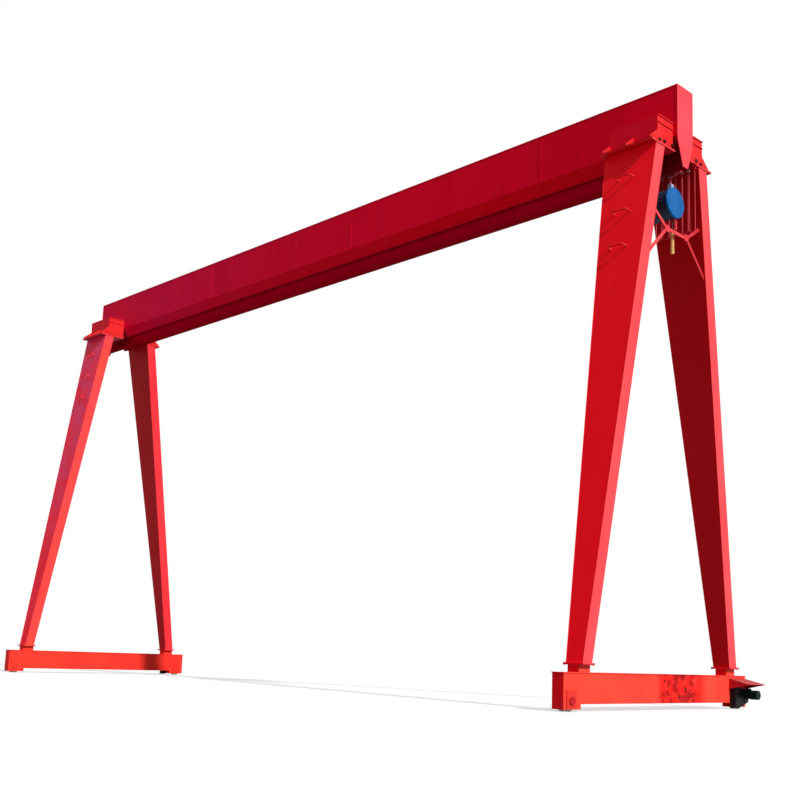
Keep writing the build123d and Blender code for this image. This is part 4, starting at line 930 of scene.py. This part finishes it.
# Pendant: push buttons in a column, boot at the stem, stop button. Each is radius, height, sides and tip.
pendant = {"rows": 6, "firstDown": 0.105, "pitch": 0.040, "collar": (0.0085, 0.003, 24),
           "button": (0.0065, 0.005, 24, 0.005), "boot": (0.017, 0.030, 24, 0.009), "stopDown": 0.050,
           "stopNeck": (0.008, 0.007, 24), "stopHead": (0.012, 0.007, 32, 0.009)}
pendantLow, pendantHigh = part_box("pendant_station")
pendantX, pendantY = (pendantLow.x + pendantHigh.x) / 2, (pendantLow.y + pendantHigh.y) / 2
front = pendantHigh.x
bm = bmesh.new()
for row in range(pendant["rows"]):
    z = pendantHigh.z - pendant["firstDown"] - row * pendant["pitch"]
    addRound(bm, (front, pendantY, z), xAxis, *pendant["collar"])
    addRound(bm, (front + pendant["collar"][1], pendantY, z), xAxis, *pendant["button"])
addRound(bm, (pendantX, pendantY, pendantHigh.z), zAxis, *pendant["boot"])
fromBmesh("pendantButtons", bm, "black", "hoist", True)
bm = bmesh.new()
z = pendantHigh.z - pendant["stopDown"]
addRound(bm, (front, pendantY, z), xAxis, *pendant["stopNeck"])
addRound(bm, (front + pendant["stopNeck"][1], pendantY, z), xAxis, *pendant["stopHead"])
fromBmesh("stopButton", bm, "stopButton", "hoist", True)
print("hoist dressed")

# Floor, backdrop and light
surround = {"floorHalf": 160, "floorColour": 0.40, "floorGlow": 0.60, "floorRough": 0.95, "sky": 0.34,
            "sun": 3.9, "sunFrom": (0.822, -0.093, 0.563), "sunSoft": 1.4}


def seenDirectly(tree):  # camera, glossy and transmission rays
    light = tree.nodes.new("ShaderNodeLightPath").outputs
    mirrored = maths(tree, "MAXIMUM", light["Is Glossy Ray"], light["Is Transmission Ray"])
    return maths(tree, "MAXIMUM", light["Is Camera Ray"], mirrored)


def makeFloor():
    mesh = bpy.data.meshes.new("floor")
    half = surround["floorHalf"]
    corners = [(-half, -half, 0), (half, -half, 0), (half, half, 0), (-half, half, 0)]
    mesh.from_pydata(corners, [], [(0, 1, 2, 3)])
    floor = bpy.data.objects.new("floor", mesh)
    scene.collection.objects.link(floor)
    material, tree, shader = startMaterial("paleFloor")
    shader.inputs["Base Color"].default_value = opaque((surround["floorColour"],) * 3)
    shader.inputs["Roughness"].default_value = surround["floorRough"]
    shader.inputs["Specular IOR Level"].default_value = 0.0
    shader.inputs["Emission Color"].default_value = (1, 1, 1, 1)
    glow = times(tree, seenDirectly(tree), surround["floorGlow"])
    tree.links.new(glow, shader.inputs["Emission Strength"])
    mesh.materials.append(material)


def makeLight():
    world = bpy.data.worlds.new("studio")
    scene.world = world
    world.use_nodes = True
    tree = world.node_tree
    background = tree.nodes["Background"].inputs
    strength = nodeIn(tree, "ShaderNodeMapRange", Value=seenDirectly(tree), To_Min=surround["sky"],
                      To_Max=1.0)
    tree.links.new(strength.outputs[0], background["Strength"])
    background["Color"].default_value = (1, 1, 1, 1)
    data = bpy.data.lights.new("sun", "SUN")
    data.energy = surround["sun"]
    data.angle = math.radians(surround["sunSoft"])
    lamp = bpy.data.objects.new("sun", data)
    lamp.rotation_euler = Vector(surround["sunFrom"]).to_track_quat("Z", "Y").to_euler()
    scene.collection.objects.link(lamp)


makeFloor()
makeLight()
print("stage lit")
